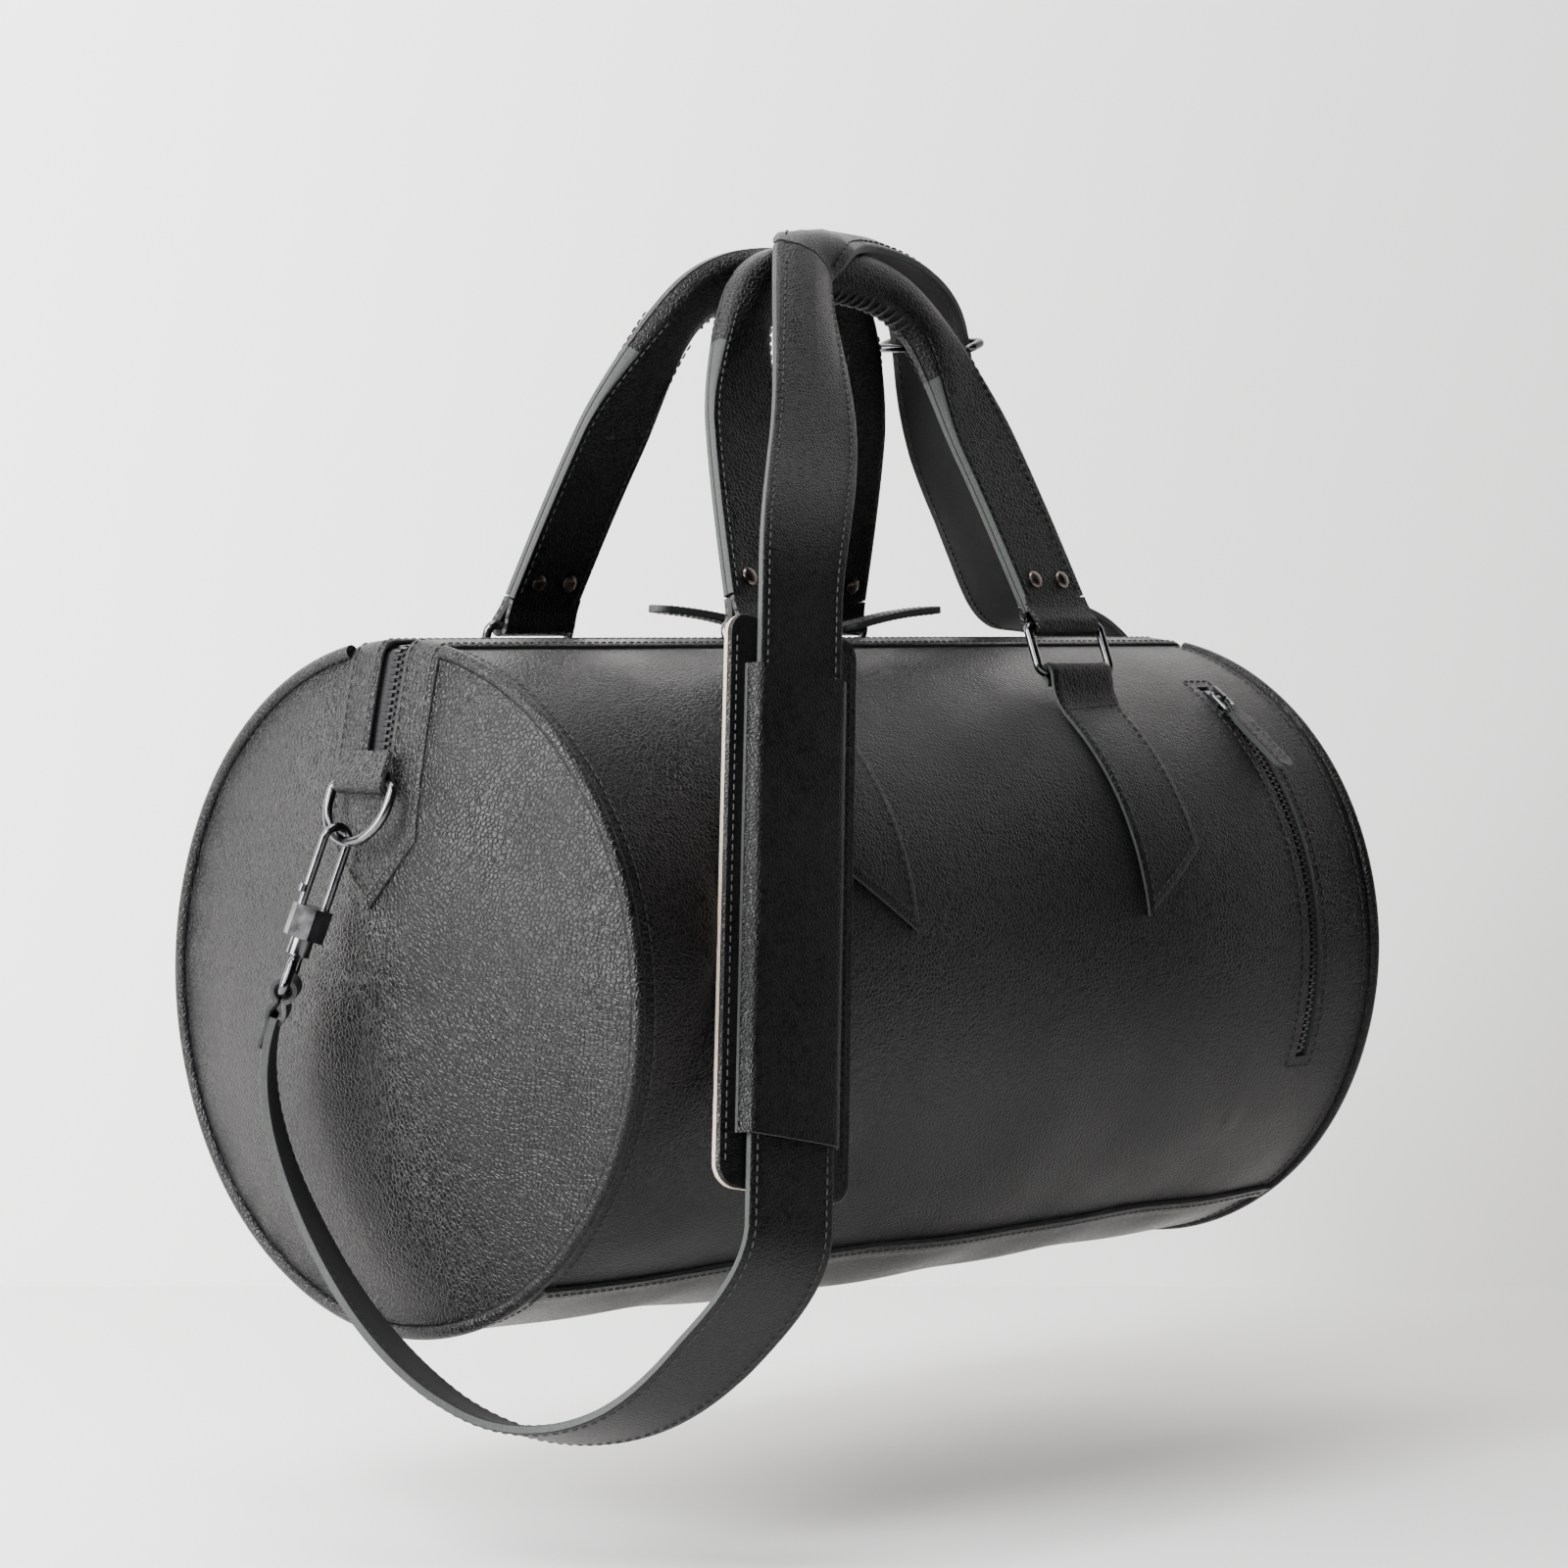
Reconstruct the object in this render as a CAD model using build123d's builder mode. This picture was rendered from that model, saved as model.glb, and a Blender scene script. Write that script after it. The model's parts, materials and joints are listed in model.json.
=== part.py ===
from build123d import *
import os
from math import asin, cos, degrees, hypot, pi, radians, sin, sqrt

# Leather barrel duffel bag, hanging by its two handles, with the shoulder
# strap draped over the front handle.  Millimetres, +Z up.  X runs along the
# barrel and -Y is the front.  Everything is drawn about the barrel's axis and
# lowered by GRIP_Z on export, so that the origin is in the hand's grip.

os.makedirs("parts", exist_ok=True)

# ---- driving dimensions -------------------------------------------------
GRIP_Z = 297.0            # hand grip above the barrel axis
BODY_R = 138.0            # outside radius of the barrel
HALF_LEN = 232.0          # half the length between the end rims
LEATHER = 2.0             # body leather thickness
DOME = 18.0               # bulge of each end panel
BASE_ANGLE = 147.0        # base seam, degrees round from the top
SEAM_GAP = 0.3            # gap left in each butted seam, degrees or mm
RIM_FILLET = 4.0

PIPE_R = 3.0              # piping bead
PIPE_RING_R = 137.0
WELT_LEN = 10.0

SLOT_HALF = 7.0           # half the zip slot in the surround
BAND_HALF = 26.0          # half the zip surround's width
BAND_T = 1.6
BAND_TIP_Z = 31.0         # point of the end patch
BAND_SHOULDER_Z = 60.0
ZIP_STOP_Z = 90.0         # bottom stop of the main zip on each end
TAPE_HALF = 14.0
TEETH_HALF = 3.0

PATCH_W = 40.0            # handle patch, ring and strap width
PATCH_T = 2.2
RING_X = 94.0             # ring centre from mid length
RING_ANGLE = 32.0         # ring position, degrees round from the top
RING_BAR_R = 147.0        # lower bar's radius from the barrel axis
RING_W = 48.0             # ring, between bar centres
RING_H = 22.0
WIRE_R = 2.0
LOOP_CLEAR = 0.05         # running clearance of a leather loop on its bar

GRIP_Y = 13.0             # grip centre from the middle plane
HANDLE_T = 6.0            # doubled handle strap
HANDLE_W = 40.0
GRIP_W = 24.0             # folded and laced grip
GRIP_T = 16.0
RIVET_SHANK_R = 1.5
RIVET_CAP_R = 3.9
RIVET_CAP_T = 1.0
RIVET_PITCH = 18.0

STRAP_W = 40.0
STRAP_T = 3.6
PAD_W = 64.0
PAD_L = 230.0
SLEEVE_W = 49.0
SLEEVE_L = 188.0
PAD_TRAVEL = 20.0

POCKET_X = 188.0          # pocket zip
POCKET_TOP = 32.0         # degrees round from the top
POCKET_END = 110.0
POCKET_SLOT = 8.0

D_WIRE_R = 2.0
D_BAR_Z = 82.0
D_HALF = 18.0
D_DROP = 24.0
D_CORNER = 3.0


# ---- helpers ------------------------------------------------------------
def save(part, name):
    """Lower the finished solid to the row frame, label it and write it."""
    placed = part.moved(Location((0, 0, -GRIP_Z)))
    placed.label = name
    export_step(placed, f"parts/{name}.step")


def at_angle(radius, angle):
    """Y, Z of a point at a radius, degrees round from the top to the front."""
    return (-radius * sin(radians(angle)), radius * cos(radians(angle)))


def arc_slab(r_in, r_out, a_from, a_to, x_from, x_to):
    """Curved slab of the barrel wall between two angles and two stations."""
    a_mid = (a_from + a_to) / 2
    with BuildPart() as slab:
        with BuildSketch(Plane.YZ.offset(x_from)):
            with BuildLine():
                ThreePointArc(at_angle(r_out, a_from), at_angle(r_out, a_mid), at_angle(r_out, a_to))
                Line(at_angle(r_out, a_to), at_angle(r_in, a_to))
                ThreePointArc(at_angle(r_in, a_to), at_angle(r_in, a_mid), at_angle(r_in, a_from))
                Line(at_angle(r_in, a_from), at_angle(r_out, a_from))
            make_face()
        extrude(amount=x_to - x_from)
    return slab.part


def bag_core(offset):
    """Solid barrel with domed ends, its surface offset from the leather's."""
    rim_r = BODY_R - LEATHER
    sphere_r = (rim_r ** 2 + DOME ** 2) / (2 * DOME)
    centre_x = HALF_LEN + DOME - sphere_r
    radius = BODY_R + offset
    rim_x = centre_x + sqrt((sphere_r + offset) ** 2 - radius ** 2)
    mid_x = centre_x + sqrt((sphere_r + offset) ** 2 - (radius / 2) ** 2)
    tip_x = centre_x + sphere_r + offset
    with BuildPart() as core:
        with BuildSketch(Plane.XZ):
            with BuildLine():
                Line((-rim_x, radius), (rim_x, radius))
                ThreePointArc((rim_x, radius), (mid_x, radius / 2), (tip_x, 0))
                Line((tip_x, 0), (-tip_x, 0))
                ThreePointArc((-tip_x, 0), (-mid_x, radius / 2), (-rim_x, radius))
            outline = make_face()
            corners = outline.vertices().filter_by(lambda v: v.Z > radius / 2 or v.Y > radius / 2)
            fillet(corners, radius=RIM_FILLET + max(offset, 0))
        revolve(axis=Axis.X)
    return core.part


def band_mask(half_width, tip_z, shoulder_z):
    """Prism along X: the zip surround's outline seen from the end."""
    with BuildPart() as mask:
        with BuildSketch(Plane.YZ.offset(-2 * HALF_LEN)):
            Polygon(
                (-half_width, 2 * BODY_R),
                (-half_width, shoulder_z),
                (0, tip_z),
                (half_width, shoulder_z),
                (half_width, 2 * BODY_R),
                align=None,
            )
        extrude(amount=4 * HALF_LEN)
    return mask.part


def ribbon(stations, width, thickness):
    """Loft through rectangles at (point, tangent, width direction) stations."""
    with BuildPart() as strip:
        for point, tangent, across in stations:
            with BuildSketch(Plane(origin=point, x_dir=across, z_dir=tangent)):
                Rectangle(width, thickness)
        loft(ruled=True)
    return strip.part


def spline_stations(points, acrosses, count, start=None, end=None):
    """Even stations along a spline, the width direction blended along it."""
    with BuildLine() as line:
        if start is None:
            Spline(*points)
        else:
            Spline(*points, tangents=[start, end])
    path = line.line
    out = []
    for k in range(count):
        t = k / (count - 1)
        tangent = path % t
        place = t * (len(acrosses) - 1)
        low = min(int(place), len(acrosses) - 2)
        share = place - low
        blend = Vector(*acrosses[low]) * (1 - share) + Vector(*acrosses[low + 1]) * share
        across = (blend - tangent * blend.dot(tangent)).normalized()
        out.append((path @ t, tangent, across))
    return out


# ---- body leather -------------------------------------------------------
PANEL_END = HALF_LEN - PIPE_R - SEAM_GAP
SLOT_ANGLE = degrees(asin((SLOT_HALF + 2) / BODY_R))
R_IN = BODY_R - LEATHER

pocket_slot = arc_slab(R_IN - 2, BODY_R + 2, POCKET_TOP, POCKET_END,
                       POCKET_X - POCKET_SLOT / 2, POCKET_X + POCKET_SLOT / 2)
with BuildPart() as front_panel:
    add(arc_slab(R_IN, BODY_R, SLOT_ANGLE, BASE_ANGLE - SEAM_GAP, -PANEL_END, PANEL_END))
    add(pocket_slot, mode=Mode.SUBTRACT)
save(front_panel.part, "front_panel")

with BuildPart() as rear_panel:
    add(arc_slab(R_IN, BODY_R, -BASE_ANGLE + SEAM_GAP, -SLOT_ANGLE, -PANEL_END, PANEL_END))
save(rear_panel.part, "rear_panel")

with BuildPart() as base_panel:
    add(arc_slab(R_IN, BODY_R, BASE_ANGLE, 360 - BASE_ANGLE, -PANEL_END, PANEL_END))
save(base_panel.part, "base_panel")

END_R = PIPE_RING_R - PIPE_R - 0.2
with BuildPart() as end_panel_right:
    add(bag_core(0))
    add(bag_core(-LEATHER), mode=Mode.SUBTRACT)
    with Locations((HALF_LEN, 0, 0)):
        Cylinder(END_R, 2 * (DOME + 3), rotation=(0, 90, 0), mode=Mode.INTERSECT)
    with BuildSketch(Plane.YZ.offset(HALF_LEN - WELT_LEN)):
        Circle(END_R)
        Circle(END_R - LEATHER, mode=Mode.SUBTRACT)
    extrude(amount=WELT_LEN)
    with Locations((HALF_LEN, 0, ZIP_STOP_Z + BODY_R / 2)):
        Box(4 * DOME, 2 * (SLOT_HALF + 2), BODY_R, mode=Mode.SUBTRACT)
    with Locations((HALF_LEN - WELT_LEN / 2 - 1.4, 0, BODY_R)):
        Box(WELT_LEN + 1, 2 * (TAPE_HALF + 2), BODY_R, mode=Mode.SUBTRACT)
save(end_panel_right.part, "end_panel_right")
with BuildPart() as end_panel_left:
    mirror(end_panel_right.part, about=Plane.YZ)
save(end_panel_left.part, "end_panel_left")

with BuildPart() as piping_right:
    with BuildSketch(Plane.XZ):
        with Locations((HALF_LEN, PIPE_RING_R)):
            Circle(PIPE_R)
        with Locations((HALF_LEN - WELT_LEN / 2, (END_R + R_IN) / 2)):
            Rectangle(WELT_LEN, R_IN - END_R - 0.1)
    revolve(axis=Axis.X)
    with Locations((HALF_LEN, 0, BODY_R)):
        Box(4 * DOME, 2 * (BAND_HALF + 1), BODY_R, mode=Mode.SUBTRACT)
save(piping_right.part, "piping_right")
with BuildPart() as piping_left:
    mirror(piping_right.part, about=Plane.YZ)
save(piping_left.part, "piping_left")

# ---- main zip -----------------------------------------------------------
with BuildPart() as zip_surround:
    add(bag_core(0.2 + BAND_T))
    add(bag_core(0.2), mode=Mode.SUBTRACT)
    add(band_mask(BAND_HALF, BAND_TIP_Z, BAND_SHOULDER_Z), mode=Mode.INTERSECT)
    with Locations((0, 0, ZIP_STOP_Z + BODY_R / 2)):
        Box(4 * HALF_LEN, 2 * SLOT_HALF, BODY_R, mode=Mode.SUBTRACT)
save(zip_surround.part, "zip_surround")


def zip_strip(depth, thickness, y_from, y_to, low_z):
    """Strip that follows the zip's path at a depth under the leather."""
    with BuildPart() as strip:
        add(bag_core(-depth))
        add(bag_core(-depth - thickness), mode=Mode.SUBTRACT)
        with Locations((0, (y_from + y_to) / 2, low_z + BODY_R / 2)):
            Box(4 * HALF_LEN, y_to - y_from, BODY_R, mode=Mode.INTERSECT)
    return strip.part


TAPE_DEPTH = LEATHER + 0.3
with BuildPart() as zip_tape_front:
    add(zip_strip(TAPE_DEPTH, 0.8, -TAPE_HALF, -0.3, ZIP_STOP_Z - 4))
save(zip_tape_front.part, "zip_tape_front")
with BuildPart() as zip_tape_rear:
    add(zip_strip(TAPE_DEPTH, 0.8, 0.3, TAPE_HALF, ZIP_STOP_Z - 4))
save(zip_tape_rear.part, "zip_tape_rear")
TEETH_DEPTH = 0.6
with BuildPart() as zip_teeth:
    add(zip_strip(TEETH_DEPTH, 1.5, -TEETH_HALF, TEETH_HALF, ZIP_STOP_Z + 2))
save(zip_teeth.part, "zip_teeth")

# Slider: a plate over the teeth with two turned-down sides and a bridge for
# the pull.  Drawn for the right hand slider, whose pull points to +X.
SLIDER_X = 12.0
SLIDER_L = 13.0
SLIDER_TOP = BODY_R - TEETH_DEPTH + 0.3
PIN_R = 0.9
PULL_CLEAR = 0.25
with BuildPart() as main_slider_right:
    with Locations((SLIDER_X, 0, SLIDER_TOP + 0.8)):
        Box(SLIDER_L, 10.0, 1.6)
    with Locations((SLIDER_X, -4.3, SLIDER_TOP - 0.5), (SLIDER_X, 4.3, SLIDER_TOP - 0.5)):
        Box(SLIDER_L, 1.4, 2.0)
    with Locations((SLIDER_X - 3, 0, SLIDER_TOP + 3.4), (SLIDER_X + 3, 0, SLIDER_TOP + 3.4)):
        Box(1.6, 2.6, 4.4)
    with Locations((SLIDER_X, 0, SLIDER_TOP + 6.2)):
        Box(7.6, 2.6, 1.2)
save(main_slider_right.part, "main_slider_right")
with BuildPart() as main_slider_left:
    mirror(main_slider_right.part, about=Plane.YZ)
save(main_slider_left.part, "main_slider_left")

# Wire link through the bridge, then the folded leather pull beyond it.
LINK_L = 11.0
LINK_HALF = 3.4
PULL_L = 66.0
PULL_W = 11.0
PULL_T = 3.2
LINK_X = SLIDER_X + 1.2
LINK_Z = SLIDER_TOP + 3.6
LINK_AXIS = Axis((LINK_X, 0, LINK_Z), (0, 1, 0))
PULL_LIFT = 8.0           # degrees the pulls stand up from the band
with BuildPart() as link_flat:
    with BuildLine():
        link_path = FilletPolyline(
            (LINK_X, -LINK_HALF, LINK_Z),
            (LINK_X, LINK_HALF, LINK_Z),
            (LINK_X + LINK_L, LINK_HALF, LINK_Z),
            (LINK_X + LINK_L, -LINK_HALF, LINK_Z),
            radius=1.5,
            close=True,
        )
    with BuildSketch(Plane(origin=link_path @ 0, z_dir=link_path % 0)):
        Circle(PIN_R)
    sweep(path=link_path)
main_link_right = link_flat.part.rotate(LINK_AXIS, -PULL_LIFT)
save(main_link_right, "main_link_right")
save(main_link_right.mirror(Plane.YZ), "main_link_left")

with BuildPart() as pull_flat:
    pull_start = LINK_X + LINK_L
    with BuildSketch(Plane.XZ.offset(-2.4)):
        with Locations((pull_start, LINK_Z)):
            Circle(PULL_T / 2 + 0.5)
        with Locations((pull_start + PULL_L / 2, LINK_Z)):
            Rectangle(PULL_L, PULL_T)
        with Locations((pull_start, LINK_Z)):
            Circle(PIN_R + PULL_CLEAR, mode=Mode.SUBTRACT)
    extrude(amount=4.8)
    with Locations((pull_start + PULL_L / 2 + 4, 0, LINK_Z)):
        Box(PULL_L - 8, PULL_W, PULL_T)
main_pull_right = pull_flat.part.rotate(LINK_AXIS, -PULL_LIFT)
save(main_pull_right, "main_pull_right")
save(main_pull_right.mirror(Plane.YZ), "main_pull_left")

# ---- handle patches -----------------------------------------------------
BAR_Y, BAR_Z = at_angle(RING_BAR_R, RING_ANGLE)
LOOP_IN = WIRE_R + LOOP_CLEAR
LOOP_OUT = LOOP_IN + 2.0
PATCH_IN = BODY_R + 0.2
PATCH_OUT = PATCH_IN + PATCH_T
TIP_Z = 34.5
TIP_RISE = 27.0

with BuildPart() as patch_front_right:
    add(arc_slab(PATCH_IN, PATCH_OUT, RING_ANGLE - 2, 80, RING_X - PATCH_W / 2, RING_X + PATCH_W / 2))
    with BuildSketch(Plane.XZ.offset(BODY_R + 20)):
        Polygon(
            (RING_X - PATCH_W, TIP_Z - TIP_RISE / 2),
            (RING_X + PATCH_W, TIP_Z + TIP_RISE * 1.5),
            (RING_X + PATCH_W, -BODY_R),
            (RING_X - PATCH_W, -BODY_R),
            align=None,
        )
    extrude(amount=-(BODY_R + 20), mode=Mode.SUBTRACT)
    loop_length = PATCH_W - 3
    with BuildSketch(Plane.YZ.offset(RING_X - loop_length / 2)):
        with Locations((BAR_Y, BAR_Z)):
            Circle(LOOP_OUT)
        neck_y, neck_z = at_angle((PATCH_IN + RING_BAR_R) / 2 + 0.5, RING_ANGLE)
        with Locations(Location((neck_y, neck_z), RING_ANGLE)):
            Rectangle(4.4, RING_BAR_R - PATCH_IN - 1.0)
        with Locations((BAR_Y, BAR_Z)):
            Circle(LOOP_IN, mode=Mode.SUBTRACT)
    extrude(amount=loop_length)
save(patch_front_right.part, "patch_front_right")
with BuildPart() as patch_front_left:
    mirror(patch_front_right.part, about=Plane.YZ)
save(patch_front_left.part, "patch_front_left")
with BuildPart() as patch_rear_right:
    mirror(patch_front_right.part, about=Plane.XZ)
save(patch_rear_right.part, "patch_rear_right")
with BuildPart() as patch_rear_left:
    mirror(patch_front_left.part, about=Plane.XZ)
save(patch_rear_left.part, "patch_rear_left")

# ---- handles ------------------------------------------------------------
# Handle plane: u runs along X, v from the ring's lower bar up to the grip.
RISE_Y = -GRIP_Y - BAR_Y
RISE_Z = GRIP_Z - BAR_Z
GRIP_V = hypot(RISE_Y, RISE_Z)
handle_plane = Plane(
    origin=(0, BAR_Y, BAR_Z),
    x_dir=(1, 0, 0),
    z_dir=(0, -RISE_Z / GRIP_V, RISE_Y / GRIP_V),
)


def in_handle(u, v, w=0.0):
    """Point of the handle plane in the bag's frame."""
    return handle_plane.from_local_coords(Vector(u, v, w))


with BuildPart() as ring_front_right:
    with BuildLine():
        ring_path = FilletPolyline(
            in_handle(RING_X - RING_W / 2, 0),
            in_handle(RING_X + RING_W / 2, 0),
            in_handle(RING_X + RING_W / 2, RING_H),
            in_handle(RING_X - RING_W / 2, RING_H),
            radius=3.5,
            close=True,
        )
    with BuildSketch(Plane(origin=ring_path @ 0, z_dir=ring_path % 0)):
        Circle(WIRE_R)
    sweep(path=ring_path)
save(ring_front_right.part, "ring_front_right")
with BuildPart() as ring_front_left:
    mirror(ring_front_right.part, about=Plane.YZ)
save(ring_front_left.part, "ring_front_left")
with BuildPart() as ring_rear_right:
    mirror(ring_front_right.part, about=Plane.XZ)
save(ring_rear_right.part, "ring_rear_right")
with BuildPart() as ring_rear_left:
    mirror(ring_front_left.part, about=Plane.XZ)
save(ring_rear_left.part, "ring_rear_left")

LEG_U = 92.0
KNEE_U = 68.0
KNEE_V = 132.0
TAB_V = RING_H + 5.5
RIVET_V = RING_H + 20.0
with BuildLine() as handle_line:
    Spline(
        in_handle(-LEG_U, TAB_V),
        in_handle(-KNEE_U, KNEE_V),
        in_handle(-46, GRIP_V - 12),
        in_handle(0, GRIP_V),
        in_handle(46, GRIP_V - 12),
        in_handle(KNEE_U, KNEE_V),
        in_handle(LEG_U, TAB_V),
    )
handle_path = handle_line.line
SECTIONS = 17


def grip_share(t):
    """0 on the flat legs, 1 on the folded grip, eased between."""
    reach = abs(2 * t - 1)
    share = min(max((0.62 - reach) / 0.34, 0.0), 1.0)
    return share * share * (3 - 2 * share)


rivet_spots = []
for side in (-1, 1):
    for step in (-0.5, 0.5):
        rivet_spots.append((side * (LEG_U - 2.5) + step * RIVET_PITCH, RIVET_V))

with BuildPart() as handle_front:
    for k in range(SECTIONS):
        t = k / (SECTIONS - 1)
        share = grip_share(t)
        tangent = handle_path % t
        wide = HANDLE_W + (GRIP_W - HANDLE_W) * share
        thick = HANDLE_T + (GRIP_T - HANDLE_T) * share
        with BuildSketch(Plane(origin=handle_path @ t, x_dir=handle_plane.z_dir.cross(tangent), z_dir=tangent)):
            RectangleRounded(wide, thick, radius=1.2 + 5.0 * share)
    loft(ruled=False)
    for side in (-1, 1):
        with BuildSketch(Plane(origin=in_handle(side * RING_X - HANDLE_W / 2, 0), x_dir=handle_plane.y_dir,
                               z_dir=(1, 0, 0))):
            with Locations((RING_H, 0)):
                Circle(LOOP_IN + 3.0)
            with Locations((RING_H + 5, 0)):
                Rectangle(10, HANDLE_T)
            with Locations((RING_H, 0)):
                Circle(LOOP_IN + 0.1, mode=Mode.SUBTRACT)
        extrude(amount=HANDLE_W)
    for side in (-1, 1):
        with BuildSketch(Plane(origin=in_handle(side * RING_X - RING_W / 2, RING_H), x_dir=handle_plane.y_dir,
                               z_dir=(1, 0, 0))):
            Circle(LOOP_IN + 0.1)
        extrude(amount=RING_W, mode=Mode.SUBTRACT)
    for u, v in rivet_spots:
        with BuildSketch(Plane(origin=in_handle(u, v, -HANDLE_T), x_dir=(1, 0, 0), z_dir=handle_plane.z_dir)):
            Circle(RIVET_SHANK_R + 0.1)
        extrude(amount=2 * HANDLE_T, mode=Mode.SUBTRACT)
save(handle_front.part, "handle_front")
with BuildPart() as handle_rear:
    mirror(handle_front.part, about=Plane.XZ)
save(handle_rear.part, "handle_rear")

RIVET_SEAT = HANDLE_T / 2 + 0.15
with BuildPart() as rivets_front:
    for u, v in rivet_spots:
        with BuildSketch(Plane(origin=in_handle(u, v, -RIVET_SEAT), x_dir=(1, 0, 0), z_dir=handle_plane.z_dir)):
            Circle(RIVET_SHANK_R)
        extrude(amount=2 * RIVET_SEAT)
        for level in (-RIVET_SEAT - RIVET_CAP_T, RIVET_SEAT):
            with BuildSketch(Plane(origin=in_handle(u, v, level), x_dir=(1, 0, 0), z_dir=handle_plane.z_dir)):
                Circle(RIVET_CAP_R)
            extrude(amount=RIVET_CAP_T)
save(rivets_front.part, "rivets_front")
with BuildPart() as rivets_rear:
    mirror(rivets_front.part, about=Plane.XZ)
save(rivets_rear.part, "rivets_rear")

LACE_R = 1.1
lace_points = []
for t in (0.36, 0.41, 0.455, 0.5, 0.545, 0.59, 0.64):
    share = grip_share(t)
    inward = handle_plane.z_dir.cross(handle_path % t)
    if inward.Z > 0:
        inward = -inward
    wide = HANDLE_W + (GRIP_W - HANDLE_W) * share
    lace_points.append(handle_path @ t + inward * (wide / 2 + LACE_R + 0.9))
with BuildPart() as lacing_front:
    with BuildLine():
        lace_path = Spline(*lace_points)
    with BuildSketch(Plane(origin=lace_path @ 0, z_dir=lace_path % 0)):
        Circle(LACE_R)
    sweep(path=lace_path)
save(lacing_front.part, "lacing_front")
with BuildPart() as lacing_rear:
    mirror(lacing_front.part, about=Plane.XZ)
save(lacing_rear.part, "lacing_rear")

# ---- D-rings and their loops ---------------------------------------------
D_BAR_X = HALF_LEN + DOME + 0.2
D_LEAN = radians(20.0)


def in_ring(y, drop):
    """Point of the D-ring's plane, y across and drop down from its bar."""
    return Vector(D_BAR_X + drop * sin(D_LEAN), y, D_BAR_Z - drop * cos(D_LEAN))


d_bulge = D_CORNER * (1 - cos(radians(45)))
with BuildPart() as d_ring_right:
    with BuildLine():
        bar = Line(in_ring(-D_HALF + D_CORNER, 0), in_ring(D_HALF - D_CORNER, 0))
        ThreePointArc(in_ring(D_HALF - D_CORNER, 0), in_ring(D_HALF - d_bulge, d_bulge), in_ring(D_HALF, D_CORNER))
        Line(in_ring(D_HALF, D_CORNER), in_ring(D_HALF, D_DROP - D_HALF))
        ThreePointArc(in_ring(D_HALF, D_DROP - D_HALF), in_ring(0, D_DROP), in_ring(-D_HALF, D_DROP - D_HALF))
        Line(in_ring(-D_HALF, D_DROP - D_HALF), in_ring(-D_HALF, D_CORNER))
        ThreePointArc(in_ring(-D_HALF, D_CORNER), in_ring(-D_HALF + d_bulge, d_bulge), in_ring(-D_HALF + D_CORNER, 0))
    with BuildSketch(Plane(origin=bar @ 0, z_dir=bar % 0)):
        Circle(D_WIRE_R)
    sweep()
save(d_ring_right.part, "d_ring_right")
with BuildPart() as d_ring_left:
    mirror(d_ring_right.part, about=Plane.YZ)
save(d_ring_left.part, "d_ring_left")

D_LOOP_W = 29.0
with BuildPart() as d_loop_right:
    with BuildSketch(Plane.XZ.offset(-D_LOOP_W / 2)):
        with Locations((D_BAR_X, D_BAR_Z)):
            Circle(LOOP_OUT - 0.1)
        with Locations((D_BAR_X - 3.2, D_BAR_Z + 5.5)):
            Rectangle(2.6, 15.0)
        with Locations((D_BAR_X, D_BAR_Z)):
            Circle(LOOP_IN, mode=Mode.SUBTRACT)
    extrude(amount=D_LOOP_W)
    add(bag_core(0.3 + BAND_T), mode=Mode.SUBTRACT)
save(d_loop_right.part, "d_loop_right")
with BuildPart() as d_loop_left:
    mirror(d_loop_right.part, about=Plane.YZ)
save(d_loop_left.part, "d_loop_left")

# ---- swivel hooks ----------------------------------------------------------
# Drawn for the right end: the axis runs down from the D-ring's bow.
hook_axis = Vector(15, 14, -60).normalized()
HOOK_Y = 7.0
bow_drop = D_DROP - D_HALF + sqrt(D_HALF ** 2 - HOOK_Y ** 2)
hook_top = in_ring(HOOK_Y, bow_drop) - hook_axis * 3.0
HOOK_R = 6.4              # bow, wire centre
HOOK_WIRE = 1.7
LEG_S = 33.0
COLLAR_S = 45.0
SHANK_S = 52.0
EYE_S = 66.0
EYE_HALF = 22.5
EYE_TOP_HALF = 19.0
bow_across = Vector(1, 0, 0.16)
bow_across = (bow_across - hook_axis * bow_across.dot(hook_axis)).normalized()
hook_depth = hook_axis.cross(bow_across)


def in_hook(across, along, depth=0.0):
    """Point in the hook's frame: across the bow, down the axis, through it."""
    return hook_top + bow_across * across + hook_axis * along + hook_depth * depth


def hook_disc(along, direction=1):
    """Sketch plane square to the hook's axis."""
    return Plane(origin=in_hook(0, along), x_dir=bow_across, z_dir=hook_axis * direction)


BOW_S = HOOK_R - D_WIRE_R + 0.4
GATE_GAP = 0.2
with BuildPart() as hook_frame_right:
    with BuildLine():
        leg = Line(in_hook(-HOOK_R, LEG_S), in_hook(-HOOK_R, BOW_S))
        ThreePointArc(in_hook(-HOOK_R, BOW_S), in_hook(0, BOW_S - HOOK_R), in_hook(HOOK_R, BOW_S))
        Line(in_hook(HOOK_R, BOW_S), in_hook(HOOK_R, BOW_S + 4))
    with BuildSketch(Plane(origin=leg @ 0, z_dir=leg % 0)):
        Circle(HOOK_WIRE)
    sweep()
    with BuildSketch(hook_disc(LEG_S - 1)):
        RegularPolygon(8.6, 6)
    extrude(amount=COLLAR_S - LEG_S + 1)
    with BuildSketch(hook_disc(LEG_S - 2)):
        with Locations((HOOK_R, 0)):
            Circle(HOOK_WIRE + 0.05)
    extrude(amount=12.0, mode=Mode.SUBTRACT)
    with BuildSketch(hook_disc(COLLAR_S - 7)):
        Circle(3.0)
    extrude(amount=8.0, mode=Mode.SUBTRACT)
save(hook_frame_right.part, "hook_frame_right")
with BuildPart() as hook_frame_left:
    mirror(hook_frame_right.part, about=Plane.YZ)
save(hook_frame_left.part, "hook_frame_left")

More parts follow.
